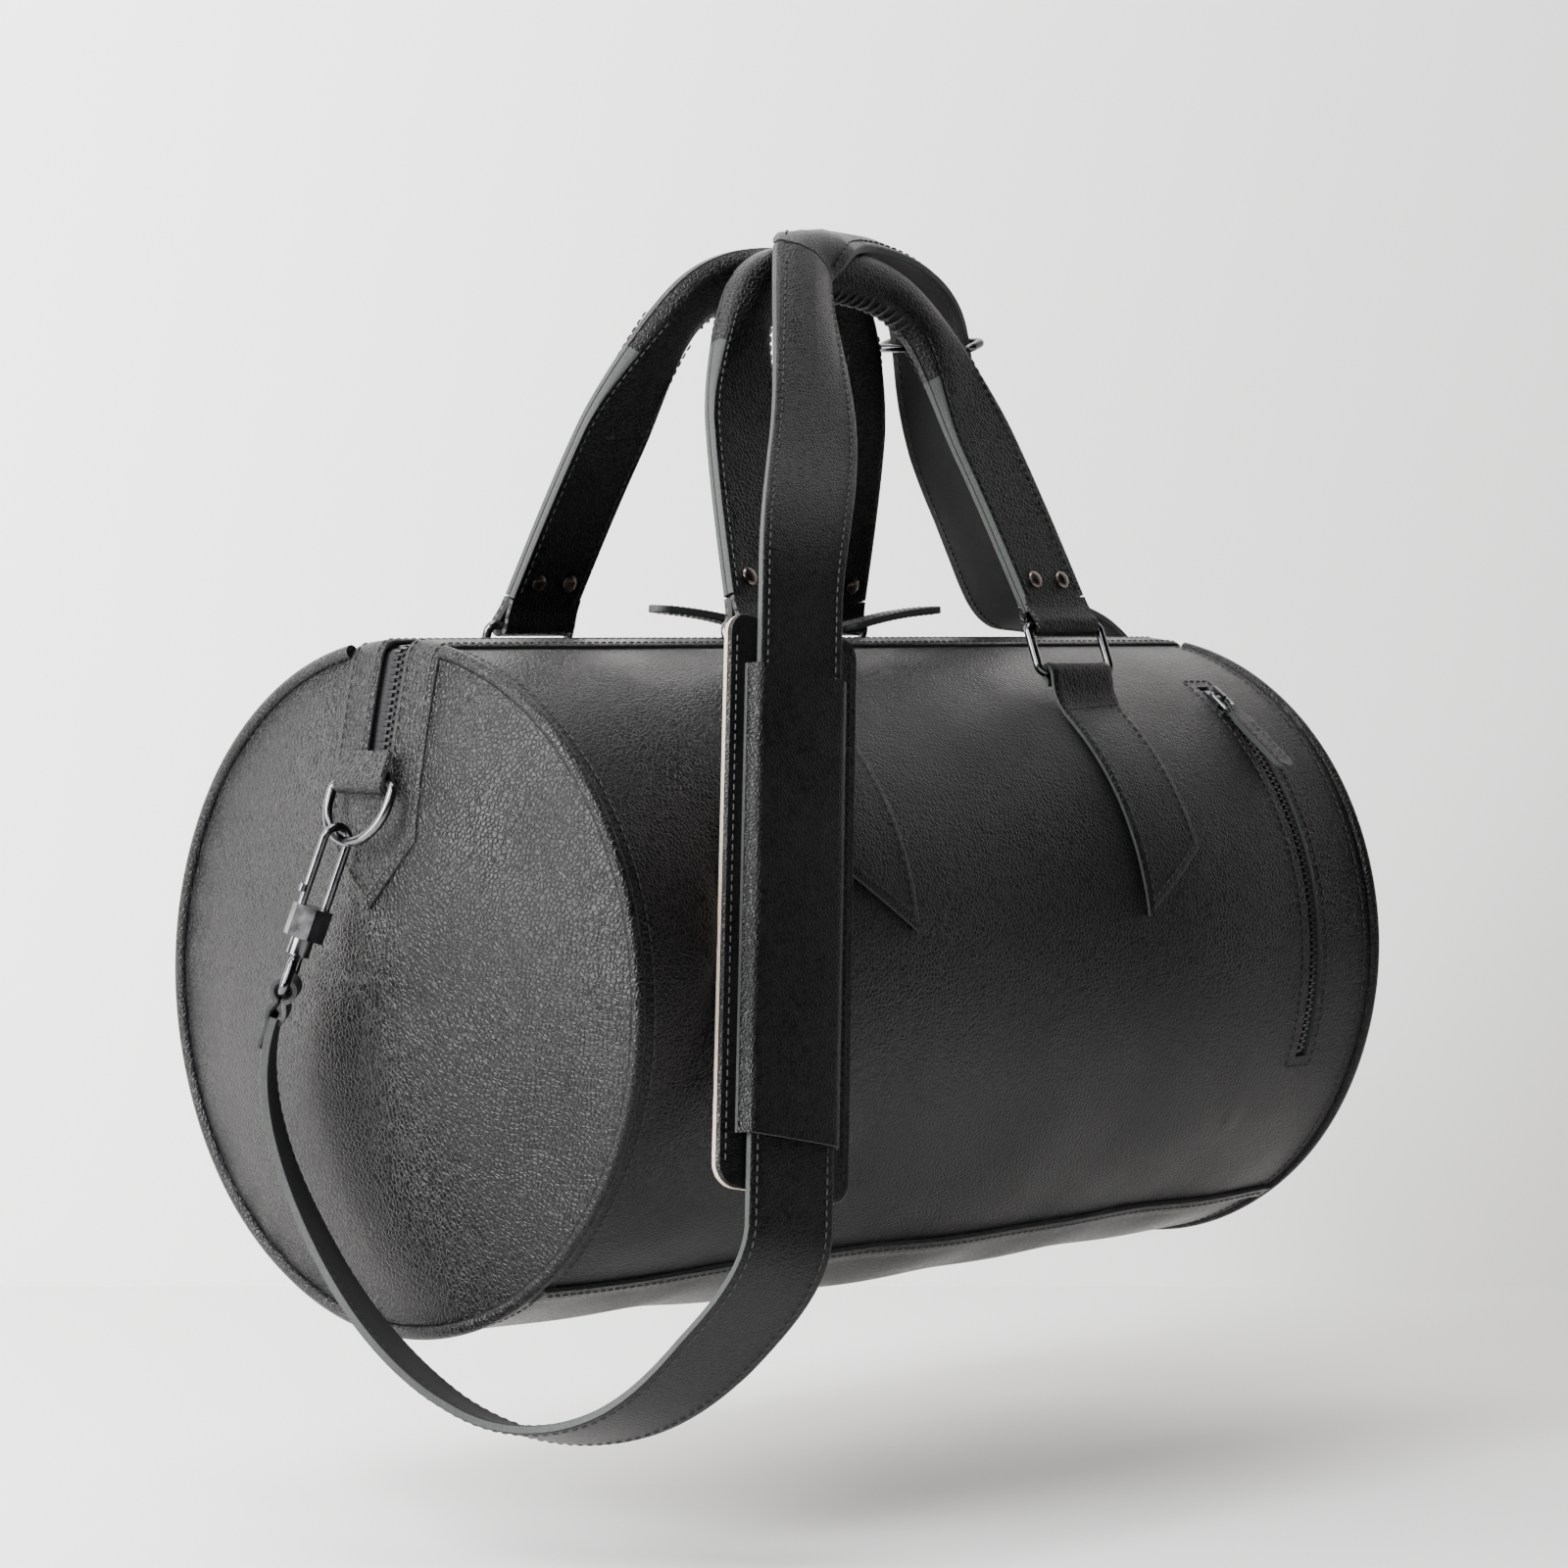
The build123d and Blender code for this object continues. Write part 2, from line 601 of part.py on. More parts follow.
GATE_TRAVEL = 4.0
with BuildPart() as hook_gate_right:
    with BuildSketch(hook_disc(BOW_S + 4 + GATE_GAP)):
        with Locations((HOOK_R, 0)):
            Circle(HOOK_WIRE)
    extrude(amount=LEG_S + 9.8 - GATE_TRAVEL - BOW_S - 4 - GATE_GAP)
    with BuildSketch(hook_disc(LEG_S - 9)):
        with Locations((HOOK_R + 2.2, 0)):
            Circle(1.5)
    extrude(amount=3.0)
save(hook_gate_right.part, "hook_gate_right")
with BuildPart() as hook_gate_left:
    mirror(hook_gate_right.part, about=Plane.YZ)
save(hook_gate_left.part, "hook_gate_left")

# Swivel eye: a headed shank in the collar's socket and a wide bar for the strap.
def square_to_axis(v):
    """Unit vector square to the hook's axis, nearest to a direction."""
    return (v - hook_axis * v.dot(hook_axis)).normalized()


def hook_eye(across):
    """Swivel eye whose strap bar lies along a direction."""
    def in_eye(side, along):
        return hook_top + across * side + hook_axis * along

    with BuildPart() as eye:
        with BuildSketch(hook_disc(COLLAR_S - 6.5)):
            Circle(2.95)
        extrude(amount=SHANK_S - COLLAR_S + 6.5)
        with BuildSketch(hook_disc(COLLAR_S + 0.4)):
            Circle(4.6)
        extrude(amount=SHANK_S - COLLAR_S - 0.4)
        with BuildLine():
            eye_path = FilletPolyline(
                in_eye(EYE_TOP_HALF, SHANK_S + 1),
                in_eye(EYE_HALF, EYE_S),
                in_eye(-EYE_HALF, EYE_S),
                in_eye(-EYE_TOP_HALF, SHANK_S + 1),
                radius=2.6,
                close=True,
            )
        with BuildSketch(Plane(origin=eye_path @ 0, z_dir=eye_path % 0)):
            Circle(D_WIRE_R)
        sweep(path=eye_path)
    return eye.part


across_right = square_to_axis(Vector(-0.12, 0.99, 0))
across_left_twin = square_to_axis(Vector(-0.69, 0.72, 0))
with BuildPart() as hook_eye_right:
    add(hook_eye(across_right))
save(hook_eye_right.part, "hook_eye_right")
with BuildPart() as hook_eye_left:
    mirror(hook_eye(across_left_twin), about=Plane.YZ)
save(hook_eye_left.part, "hook_eye_left")


def mirrored_x(v):
    """The left end's copy of a right end vector."""
    return Vector(-v.X, v.Y, v.Z)


FOLD_W = STRAP_W - 5.0


def strap_fold(centre, across, down, thickness):
    """Leather folded round the eye's bar, seen along the bar."""
    with BuildPart() as fold:
        with BuildSketch(Plane(origin=centre - across * (FOLD_W / 2), x_dir=down, z_dir=across)):
            Circle(D_WIRE_R + 0.15 + STRAP_T)
            with Locations((6, 0)):
                Rectangle(12, thickness)
            Circle(D_WIRE_R + 0.15, mode=Mode.SUBTRACT)
        extrude(amount=FOLD_W)
    return fold.part


# ---- shoulder strap ---------------------------------------------------------
eye_right = in_hook(0, EYE_S)
eye_left = mirrored_x(eye_right)
across_left = mirrored_x(across_left_twin)
down_left = mirrored_x(hook_axis)

PAD_TOP = Vector(-129.3, -123.6, 135.0)
PAD_BOTTOM = Vector(-178.8, -165.6, -62.0)
pad_dir = (PAD_BOTTOM - PAD_TOP).normalized()
pad_across = Vector(cos(radians(8)), -sin(radians(8)), 0)
pad_across = (pad_across - pad_dir * pad_across.dot(pad_dir)).normalized()
pad_out = pad_across.cross(pad_dir)
if pad_out.Y > 0:
    pad_out = -pad_out

loop_start = eye_left + down_left * 11
STRAIGHT = PAD_TRAVEL + 4
loop_points = [
    loop_start,
    Vector(-271, 4, -97),
    Vector(-260, -28, -139),
    Vector(-238, -66, -167),
    Vector(-217, -113, -163),
    Vector(-199, -151, -130),
    PAD_BOTTOM + pad_dir * STRAIGHT,
]
loop_across = [across_left, Vector(0.72, 0.69, 0), Vector(0.8, 0.6, -0.1), Vector(0.9, 0.4, -0.25),
               Vector(0.97, 0.1, -0.25), pad_across, pad_across]
loop_stations = spline_stations(loop_points, loop_across, 24, down_left, -pad_dir)

rise_points = [
    PAD_TOP - pad_dir * STRAIGHT,
    Vector(-84, -88, 215),
    Vector(-44, -50, 275),
    Vector(-24, -31, 302),
]
rise_across = [pad_across, Vector(0.9, -0.35, -0.3), Vector(0.85, -0.35, -0.45), Vector(0.85, -0.2, -0.5)]
rise_stations = spline_stations(rise_points, rise_across, 9, -pad_dir, Vector(0.55, 0.5, 0.62))

with BuildPart() as strap_long:
    add(ribbon(loop_stations + rise_stations, STRAP_W, STRAP_T))
    add(strap_fold(eye_left, across_left, down_left, 2 * STRAP_T))
save(strap_long.part, "strap_long")

# The upper strap crosses the front grip, runs down to the rear right shoulder
# and hangs over the rim in a short loop up to the right hook.
over_points = [
    Vector(-23.3, -30.4, 302.8),
    Vector(-8, -19, 312.5),
    Vector(14, -4, 315),
    Vector(42, 3, 314),
    Vector(68, 4, 304),
    Vector(88, 6, 283),
    Vector(98, 9, 255),
]
over_across = [Vector(0.85, -0.2, -0.5), Vector(0.7, -0.7, -0.15), Vector(0.45, -0.85, 0), Vector(0.2, -1, 0),
               Vector(0.1, -1, 0), Vector(0.15, -1, 0), Vector(0.2, -1, 0)]
over_stations = spline_stations(over_points, over_across, 21, Vector(0.55, 0.5, 0.62), Vector(0.32, 0.14, -0.9))
ADJUSTER_AT = over_points[-1]
run_points = [
    ADJUSTER_AT,
    Vector(126, 20, 212),
    Vector(172, 38, 171),
    Vector(206, 50, 151.5),
    Vector(236, 52, 147),
    Vector(262, 48, 133),
    Vector(284, 40, 90),
    Vector(294, 33, 30),
    Vector(296, 28, -20),
    Vector(285, 25, -42),
    Vector(274, 24.5, -26),
    eye_right + hook_axis * 11,
]
run_across = [Vector(0.2, -1, 0), Vector(0.3, -1, 0), Vector(0.2, -1, 0), Vector(0, -0.95, 0.25),
              Vector(0, -0.95, 0.3), Vector(0, -0.97, 0.2), Vector(0, -1, 0), Vector(0, -1, 0), Vector(0, -1, 0),
              Vector(0, -1, 0), -across_right, -across_right]
run_stations = spline_stations(run_points, run_across, 48, Vector(0.32, 0.14, -0.9), -hook_axis)

with BuildPart() as strap_short:
    add(ribbon(over_stations + run_stations[1:], STRAP_W, STRAP_T))
    add(strap_fold(eye_right, across_right, hook_axis, 2 * STRAP_T))
save(strap_short.part, "strap_short")

# Adjuster: a rectangular wire loop round the strap with a centre bar over it.
adjuster_mid, adjuster_dir, adjuster_across = over_stations[18]
adjuster_out = adjuster_dir.cross(adjuster_across)


def in_adjuster(across, along, out):
    """Point in the adjuster's frame."""
    return adjuster_mid + adjuster_across * across + adjuster_dir * along + adjuster_out * out


with BuildPart() as adjuster:
    with BuildLine():
        frame_path = FilletPolyline(
            in_adjuster(-24, 0, -5), in_adjuster(24, 0, -5), in_adjuster(24, 0, 5), in_adjuster(-24, 0, 5),
            radius=2.5, close=True,
        )
    with BuildSketch(Plane(origin=frame_path @ 0, z_dir=frame_path % 0)):
        Circle(WIRE_R)
    sweep(path=frame_path)
save(adjuster.part, "adjuster")

# ---- shoulder pad -------------------------------------------------------------
CAVITY_T = STRAP_T + 1.0
BACKING_T = 3.4
SLEEVE_T = 1.8
pad_mid = (PAD_TOP + PAD_BOTTOM) / 2


def pad_plane(out):
    """Sketch plane parallel to the pad, at a height over its middle."""
    return Plane(origin=pad_mid + pad_out * out, x_dir=pad_across, z_dir=pad_out)


with BuildPart() as pad_backing:
    with BuildSketch(pad_plane(-CAVITY_T / 2 - BACKING_T)):
        RectangleRounded(PAD_W, PAD_L, radius=9)
    extrude(amount=BACKING_T)
save(pad_backing.part, "pad_backing")
with BuildPart() as pad_sleeve:
    with BuildSketch(pad_plane(-CAVITY_T / 2 + 0.1)):
        Rectangle(SLEEVE_W, SLEEVE_L)
    extrude(amount=CAVITY_T + SLEEVE_T)
    with BuildSketch(pad_plane(-CAVITY_T / 2 - 1)):
        Rectangle(STRAP_W + 1.6, PAD_L)
    extrude(amount=CAVITY_T + 1, mode=Mode.SUBTRACT)
save(pad_sleeve.part, "pad_sleeve")

# ---- pocket -------------------------------------------------------------------
HALF_TAPE = 11.0
with BuildPart() as pocket_tape:
    add(arc_slab(R_IN - 0.9, R_IN - 0.2, POCKET_TOP - 2, POCKET_END + 2, POCKET_X - HALF_TAPE, POCKET_X + HALF_TAPE))
save(pocket_tape.part, "pocket_tape")
with BuildPart() as pocket_teeth:
    add(arc_slab(R_IN, R_IN + 1.1, POCKET_TOP + 1, POCKET_END - 1, POCKET_X - 2.2, POCKET_X + 2.2))
save(pocket_teeth.part, "pocket_teeth")
with BuildPart() as pocket_bag:
    add(arc_slab(R_IN - 2.6, R_IN - 1.2, POCKET_TOP - 6, POCKET_END + 14, 40, POCKET_X + 26))
save(pocket_bag.part, "pocket_bag")

SLIDER_ANGLE = POCKET_TOP + 4.0


def on_barrel(x, radius, angle):
    """Point on the barrel: station, radius and degrees from the top."""
    y, z = at_angle(radius, angle)
    return Vector(x, y, z)


def barrel_plane(radius, angle):
    """Plane on the barrel at the pocket zip: z out, x along the bag's X."""
    y, z = at_angle(1.0, angle)
    return Plane(origin=on_barrel(POCKET_X, radius, angle), x_dir=(1, 0, 0), z_dir=(0, y, z))


POCKET_SLIDER_R = R_IN + 1.4
with BuildPart() as pocket_slider:
    add(arc_slab(POCKET_SLIDER_R, POCKET_SLIDER_R + 1.5, SLIDER_ANGLE - 2.2, SLIDER_ANGLE + 2.2,
                 POCKET_X - 3.4, POCKET_X + 3.4))
    with BuildSketch(barrel_plane(POCKET_SLIDER_R + 0.8, SLIDER_ANGLE)):
        with Locations((0, 3.0), (0, -3.0)):
            Rectangle(2.0, 1.4)
    extrude(amount=4.4)
    with BuildSketch(barrel_plane(POCKET_SLIDER_R + 4.2, SLIDER_ANGLE)):
        Rectangle(2.0, 7.4)
    extrude(amount=1.0)
save(pocket_slider.part, "pocket_slider")

POCKET_LINK_R = POCKET_SLIDER_R + 3.0
link_plane = barrel_plane(POCKET_LINK_R, SLIDER_ANGLE)
down_sign = -1.0 if link_plane.y_dir.Z > 0 else 1.0
PL_LEN = 12.0
PL_HALF = 4.0
DROOP = radians(3.0)


def in_pull(x, along, out=0.0):
    """Point of the pocket pull: across, down from its pivot and outwards."""
    run = along * cos(DROOP) + out * sin(DROOP)
    lift = out * cos(DROOP) - along * sin(DROOP)
    return link_plane.from_local_coords(Vector(x, down_sign * (run - 1.0), lift))


with BuildPart() as pocket_link:
    with BuildLine():
        pocket_link_path = FilletPolyline(
            in_pull(-PL_HALF, 0), in_pull(PL_HALF, 0), in_pull(PL_HALF, PL_LEN), in_pull(-PL_HALF, PL_LEN),
            radius=1.6, close=True,
        )
    with BuildSketch(Plane(origin=pocket_link_path @ 0, z_dir=pocket_link_path % 0)):
        Circle(PIN_R)
    sweep(path=pocket_link_path)
save(pocket_link.part, "pocket_link")

POCKET_PULL_L = 40.0
pull_down = (in_pull(0, 1) - in_pull(0, 0)).normalized()
with BuildPart() as pocket_pull:
    with BuildSketch(Plane(origin=in_pull(-5, PL_LEN), x_dir=pull_down, z_dir=(1, 0, 0))):
        Circle(PULL_T / 2 + 0.5)
        with Locations((POCKET_PULL_L / 2, 0)):
            Rectangle(POCKET_PULL_L, PULL_T)
        Circle(PIN_R + PULL_CLEAR, mode=Mode.SUBTRACT)
    extrude(amount=10)
    with BuildSketch(Plane(origin=in_pull(-7, PL_LEN), x_dir=pull_down, z_dir=(1, 0, 0))):
        Rectangle(9.0, 20.0)
    extrude(amount=4.2, mode=Mode.SUBTRACT)
    with BuildSketch(Plane(origin=in_pull(2.8, PL_LEN), x_dir=pull_down, z_dir=(1, 0, 0))):
        Rectangle(9.0, 20.0)
    extrude(amount=4.2, mode=Mode.SUBTRACT)
save(pocket_pull.part, "pocket_pull")

# ---- inside -------------------------------------------------------------------
LINING_R = 131.8
with BuildPart() as lining:
    Cylinder(LINING_R, 2 * (HALF_LEN - 14), rotation=(0, 90, 0))
    Cylinder(LINING_R - 1.0, 2 * (HALF_LEN - 15), rotation=(0, 90, 0), mode=Mode.SUBTRACT)
    with Locations((0, 0, ZIP_STOP_Z + BODY_R / 2)):
        Box(4 * HALF_LEN, 2 * TAPE_HALF, BODY_R, mode=Mode.SUBTRACT)
save(lining.part, "lining")

BOARD_W = 120.0
BOARD_T = 2.4
BOARD_Z = -sqrt((LINING_R - 1.0) ** 2 - (BOARD_W / 2) ** 2) + 0.4
with BuildPart() as base_board:
    with BuildSketch(Plane.XY.offset(BOARD_Z)):
        RectangleRounded(2 * (HALF_LEN - 20), BOARD_W, radius=12)
    extrude(amount=BOARD_T)
save(base_board.part, "base_board")

with BuildPart() as inner_pocket:
    add(arc_slab(LINING_R - 3.4, LINING_R - 1.4, -112, -62, -90, 90))
    add(arc_slab(LINING_R - 2.8, LINING_R - 2.0, -110, -60, -88, 88), mode=Mode.SUBTRACT)
save(inner_pocket.part, "inner_pocket")
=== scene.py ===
import json
import logging
from dataclasses import dataclass, field
from enum import Enum

import bpy
import numpy as np
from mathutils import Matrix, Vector
from numpy.typing import NDArray


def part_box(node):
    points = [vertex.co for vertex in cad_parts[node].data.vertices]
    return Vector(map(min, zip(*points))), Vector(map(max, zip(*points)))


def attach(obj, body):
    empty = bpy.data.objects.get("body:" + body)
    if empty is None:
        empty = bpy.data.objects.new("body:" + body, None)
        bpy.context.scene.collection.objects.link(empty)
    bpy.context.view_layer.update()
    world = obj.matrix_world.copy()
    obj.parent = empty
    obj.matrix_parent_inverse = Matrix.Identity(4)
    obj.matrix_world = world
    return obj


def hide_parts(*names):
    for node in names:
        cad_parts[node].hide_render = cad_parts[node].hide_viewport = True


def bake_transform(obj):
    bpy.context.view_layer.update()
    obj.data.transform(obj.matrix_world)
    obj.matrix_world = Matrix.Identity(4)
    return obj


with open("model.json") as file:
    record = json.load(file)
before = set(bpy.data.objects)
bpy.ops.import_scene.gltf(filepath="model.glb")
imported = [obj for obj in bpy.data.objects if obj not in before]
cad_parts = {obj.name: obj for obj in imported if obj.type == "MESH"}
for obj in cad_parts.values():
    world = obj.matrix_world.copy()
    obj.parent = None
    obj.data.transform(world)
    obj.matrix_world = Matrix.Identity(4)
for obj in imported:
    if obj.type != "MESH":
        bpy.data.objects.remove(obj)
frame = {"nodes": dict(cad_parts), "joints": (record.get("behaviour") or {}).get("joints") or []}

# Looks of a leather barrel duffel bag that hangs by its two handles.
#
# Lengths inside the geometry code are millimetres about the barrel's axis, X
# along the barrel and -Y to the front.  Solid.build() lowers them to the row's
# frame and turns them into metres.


Array = NDArray[np.float64]
LOG = logging.getLogger("duffel")
SEED = 7
MM = 0.001


class Side(Enum):
    """The bag's two ends."""

    LEFT = -1.0
    RIGHT = 1.0


class Flank(Enum):
    """Front and rear, as the sign of Y."""

    FRONT = -1.0
    REAR = 1.0


class Face(Enum):
    """Which face of a leather piece a polygon belongs to."""

    GRAIN = 0
    EDGE = 1
    FLESH = 2


# ---- numeric helpers ---------------------------------------------------------
def unit(v: Array) -> Array:
    """Vectors scaled to length one.

    Args:
        v: vectors along the last axis.

    Returns:
        The same directions with length one.
    """
    return v / np.maximum(np.linalg.norm(v, axis=-1, keepdims=True), 1e-12)


def ease(t: Array) -> Array:
    """Smooth step from 0 to 1, flat at both ends."""
    t = np.clip(t, 0.0, 1.0)
    return t * t * (3 - 2 * t)


def hump(x: Array, centre: float, width: float) -> Array:
    """Gaussian bump of height one."""
    return np.exp(-(((x - centre) / width) ** 2))


def spaced(*stops: float, step: float) -> Array:
    """Grid lines that hit every stop, evenly spaced between them.

    Args:
        stops: increasing values that must each be a grid line.
        step: largest spacing between two lines.

    Returns:
        The grid lines.
    """
    parts = []
    for low, high in zip(stops[:-1], stops[1:]):
        count = max(1, int(np.ceil((high - low) / step)))
        parts.append(np.linspace(low, high, count + 1)[:-1])
    return np.concatenate([*parts, [stops[-1]]])


def arc_length(path: Array) -> Array:
    """Running length along a polyline."""
    steps = np.linalg.norm(np.diff(path, axis=0), axis=1)
    return np.concatenate([[0.0], np.cumsum(steps)])


def resample(path: Array, count: int) -> Array:
    """Points spaced evenly along a polyline."""
    s = arc_length(path)
    want = np.linspace(0, s[-1], count)
    return np.stack([np.interp(want, s, path[:, k]) for k in range(path.shape[1])], axis=1)


def spline(points: Array, count: int, start: Array | None = None, end: Array | None = None) -> Array:
    """Cubic spline through points, even along its length.

    The second derivatives solve the usual tridiagonal system; an end with a
    given direction is clamped to it and a free end has none.

    Args:
        points: rows of points to pass through.
        count: number of points returned.
        start: direction at the first point, or None.
        end: direction at the last point, or None.

    Returns:
        count points along the spline.
    """
    p = np.asarray(points, float)
    u = arc_length(p)
    h = np.diff(u)
    n = len(p)
    a = np.zeros((n, n))
    b = np.zeros((n, p.shape[1]))
    slope = np.diff(p, axis=0) / h[:, None]
    inner = np.arange(1, n - 1)
    a[inner, inner - 1] = h[:-1]
    a[inner, inner] = 2 * (h[:-1] + h[1:])
    a[inner, inner + 1] = h[1:]
    b[inner] = 6 * (slope[1:] - slope[:-1])
    a[0, 0] = a[-1, -1] = 1.0
    if start is not None:
        a[0, 0], a[0, 1] = 2 * h[0], h[0]
        b[0] = 6 * (slope[0] - unit(np.asarray(start, float)))
    if end is not None:
        a[-1, -1], a[-1, -2] = 2 * h[-1], h[-1]
        b[-1] = 6 * (unit(np.asarray(end, float)) - slope[-1])
    m = np.linalg.solve(a, b)
    t = np.linspace(0, u[-1], 40 * n)
    k = np.clip(np.searchsorted(u, t, side="right") - 1, 0, n - 2)
    d0 = (t - u[k])[:, None]
    d1 = (u[k + 1] - t)[:, None]
    hk = h[k][:, None]
    curve = (
        m[k] * d1**3 / (6 * hk)
        + m[k + 1] * d0**3 / (6 * hk)
        + (p[k] / hk - m[k] * hk / 6) * d1
        + (p[k + 1] / hk - m[k + 1] * hk / 6) * d0
    )
    return resample(curve, count)


def tangents(path: Array, closed: bool = False) -> Array:
    """Unit tangents of a polyline."""
    if closed:
        return unit(np.roll(path, -1, axis=0) - np.roll(path, 1, axis=0))
    return unit(np.gradient(path, axis=0))


def spread(rows: Array, count: int) -> Array:
    """Rows blended evenly over count stations."""
    place = np.linspace(0, len(rows) - 1, count)
    return np.stack([np.interp(place, np.arange(len(rows)), rows[:, k]) for k in range(rows.shape[1])], axis=1)


def square_to(v: Array, axis: Array) -> Array:
    """Part of each vector square to an axis, as a unit vector."""
    return unit(v - axis * np.sum(v * axis, axis=-1, keepdims=True))


# ---- datum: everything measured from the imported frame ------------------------
@dataclass(frozen=True)
class Datum:
    """Leading dimensions in millimetres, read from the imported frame."""

    axis_z: float
    radius: float
    half_len: float
    tip_x: float
    grip_z: float

    @classmethod
    def read(cls) -> "Datum":
        """Measure the frame's nodes and joints.

        Returns:
            The dimensions.
        """
        joint = next(j for j in frame["joints"] if j["name"] == "pocket_slider_travel")
        axis_z = joint["pos_m"][2] / MM
        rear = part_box("rear_panel")[1]
        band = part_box("zip_surround")[1]
        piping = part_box("piping_right")[0]
        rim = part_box("piping_right")[1]
        return cls(
            axis_z=axis_z,
            radius=rear.y / MM,
            half_len=rim.x / MM - 3.0 if piping.x < rim.x else 0.0,
            tip_x=band.x / MM - 1.8,
            grip_z=-axis_z,
        )


DATUM = Datum.read()
R = DATUM.radius
HALF = DATUM.half_len
LIFT = 0.2            # air under a leather piece that lies on another


@dataclass(frozen=True)
class BarrelForm:
    """The filled bag's outer surface: a barrel with soft swells and dents."""

    radius: float
    half_len: float
    tip_x: float

    def swell(self, x: Array, angle: Array) -> Array:
        """Outward offset of the soft leather, in millimetres.

        A sag along the base, dents on the flanks and slow waves from a few
        cosines.  It fades out along the top zip, beside the pocket zip and at
        the rims, so that the hardware there stays seated.

        Args:
            x: station along the barrel.
            angle: degrees round from the top toward the front.

        Returns:
            The offset at each point.
        """
        a = (np.asarray(angle) + 180.0) % 360.0 - 180.0
        u = np.asarray(x) / self.half_len
        under = hump(np.abs(a), 180.0, 46.0)
        out = 3.6 * under * (1 - 0.75 * u**2)
        out = out + 0.9 * under * np.cos(7.0 * u + 0.8) + 0.5 * under * np.cos(17.0 * u - 0.4)
        out = out - 2.6 * hump(a, -78.0, 30.0) * hump(u, -0.25, 0.45)
        out = out + 1.7 * hump(a, -100.0, 26.0) * hump(u, 0.30, 0.35)
        out = out - 2.2 * hump(a, 88.0, 34.0) * hump(u, 0.02, 0.30)
        out = out + 1.6 * hump(a, 60.0, 20.0) * hump(u, -0.55, 0.25)
        out = out - 1.4 * hump(a, 118.0, 16.0) * hump(u, 0.42, 0.22)
        out = out + 0.7 * np.cos(np.radians(2.0 * a) + 5.0 * u) + 0.5 * np.cos(np.radians(3.0 * a) - 8.0 * u)
        out = out + 0.35 * np.cos(np.radians(9.0 * a) + 11.0 * u) * hump(np.abs(u), 0.9, 0.3)
        calm = ease((np.abs(a) - 10.0) / 22.0)
        calm = calm * (1 - 0.9 * hump(np.asarray(x), 188.0, 24.0) * ease((a - 18) / 8) * ease((124 - a) / 8))
        return out * calm * (1 - 0.55 * hump(np.abs(u), 1.0, 0.09))

    def wall(self, x: Array, angle: Array, lift: Array | float = 0.0) -> Array:
        """Points on the barrel wall.

        Args:
            x: station along the barrel.
            angle: degrees round from the top toward the front.
            lift: height above the leather.

        Returns:
            Points, last axis X, Y, Z.
        """
        x, a = np.broadcast_arrays(np.asarray(x, float), np.radians(angle))
        r = self.radius + self.swell(x, np.degrees(a)) + lift
        return np.stack([x, -r * np.sin(a), r * np.cos(a)], axis=-1)

    def wall_normal(self, x: Array, angle: Array) -> Array:
        """Outward direction of the wall, straight from the axis."""
        x, a = np.broadcast_arrays(np.asarray(x, float), np.radians(angle))
        return np.stack([np.zeros_like(x), -np.sin(a), np.cos(a)], axis=-1)

    def cap(self, share: Array, angle: Array, side: Side, lift: Array | float = 0.0) -> Array:
        """Points on a domed end.

        The bulge falls with the square of the distance from the middle, with
        slow dents and a few creases that run out from the rim.

        Args:
            share: distance from the middle over the rim's radius, 0 to 1.
            angle: degrees round from the top toward the front.
            side: the end.
            lift: height above the leather, along X.

        Returns:
            Points, last axis X, Y, Z.
        """
        share, angle = np.broadcast_arrays(np.asarray(share, float), np.asarray(angle, float))
        a = np.radians(angle)
        r = share * (self.radius - 1.5 + 0.55 * self.swell(side.value * self.half_len, angle) * share)
        bulge = (self.tip_x - self.half_len - 0.4) * (1 - share**2)
        fade = share * (1 - share) * 4
        band = np.exp(-((r * np.sin(a) / 34.0) ** 2)) * (np.cos(a) > 0)
        soft = 1.6 * np.sin(2 * a + 0.6) * fade + 1.1 * np.cos(3 * a - 1.1 + 2.2 * share) * fade
        soft = soft - 2.4 * hump(share, 0.72, 0.16) * hump(np.degrees(a), 52.0, 15.0)
        soft = soft - 1.8 * hump(share, 0.78, 0.12) * hump(np.degrees(a), 118.0, 14.0)
        crease = np.cos(a * 23 + 3 * np.sin(a * 5)) * hump(share, 0.93, 0.07) * 0.30
        crease = crease + np.cos(share * 60 + a * 6) * hump(np.degrees(a), 112.0, 13.0) * hump(share, 0.84, 0.1) * 0.35
        x = self.half_len + bulge + (soft + crease) * (1 - band) + lift
        return np.stack([side.value * x, -r * np.sin(a), r * np.cos(a)], axis=-1)


FORM = BarrelForm(R, HALF, DATUM.tip_x)


# ---- finishes ----------------------------------------------------------------
def linear(hex_colour: str, alpha: float = 1.0) -> tuple[float, float, float, float]:
    """sRGB hex colour as a linear RGBA value.

    Args:
        hex_colour: six hex digits.
        alpha: opacity.

    Returns:
        Linear RGBA.
    """
    srgb = np.array([int(hex_colour[k : k + 2], 16) / 255 for k in (0, 2, 4)])
    value = np.where(srgb <= 0.04045, srgb / 12.92, ((srgb + 0.055) / 1.055) ** 2.4)
    return (float(value[0]), float(value[1]), float(value[2]), alpha)


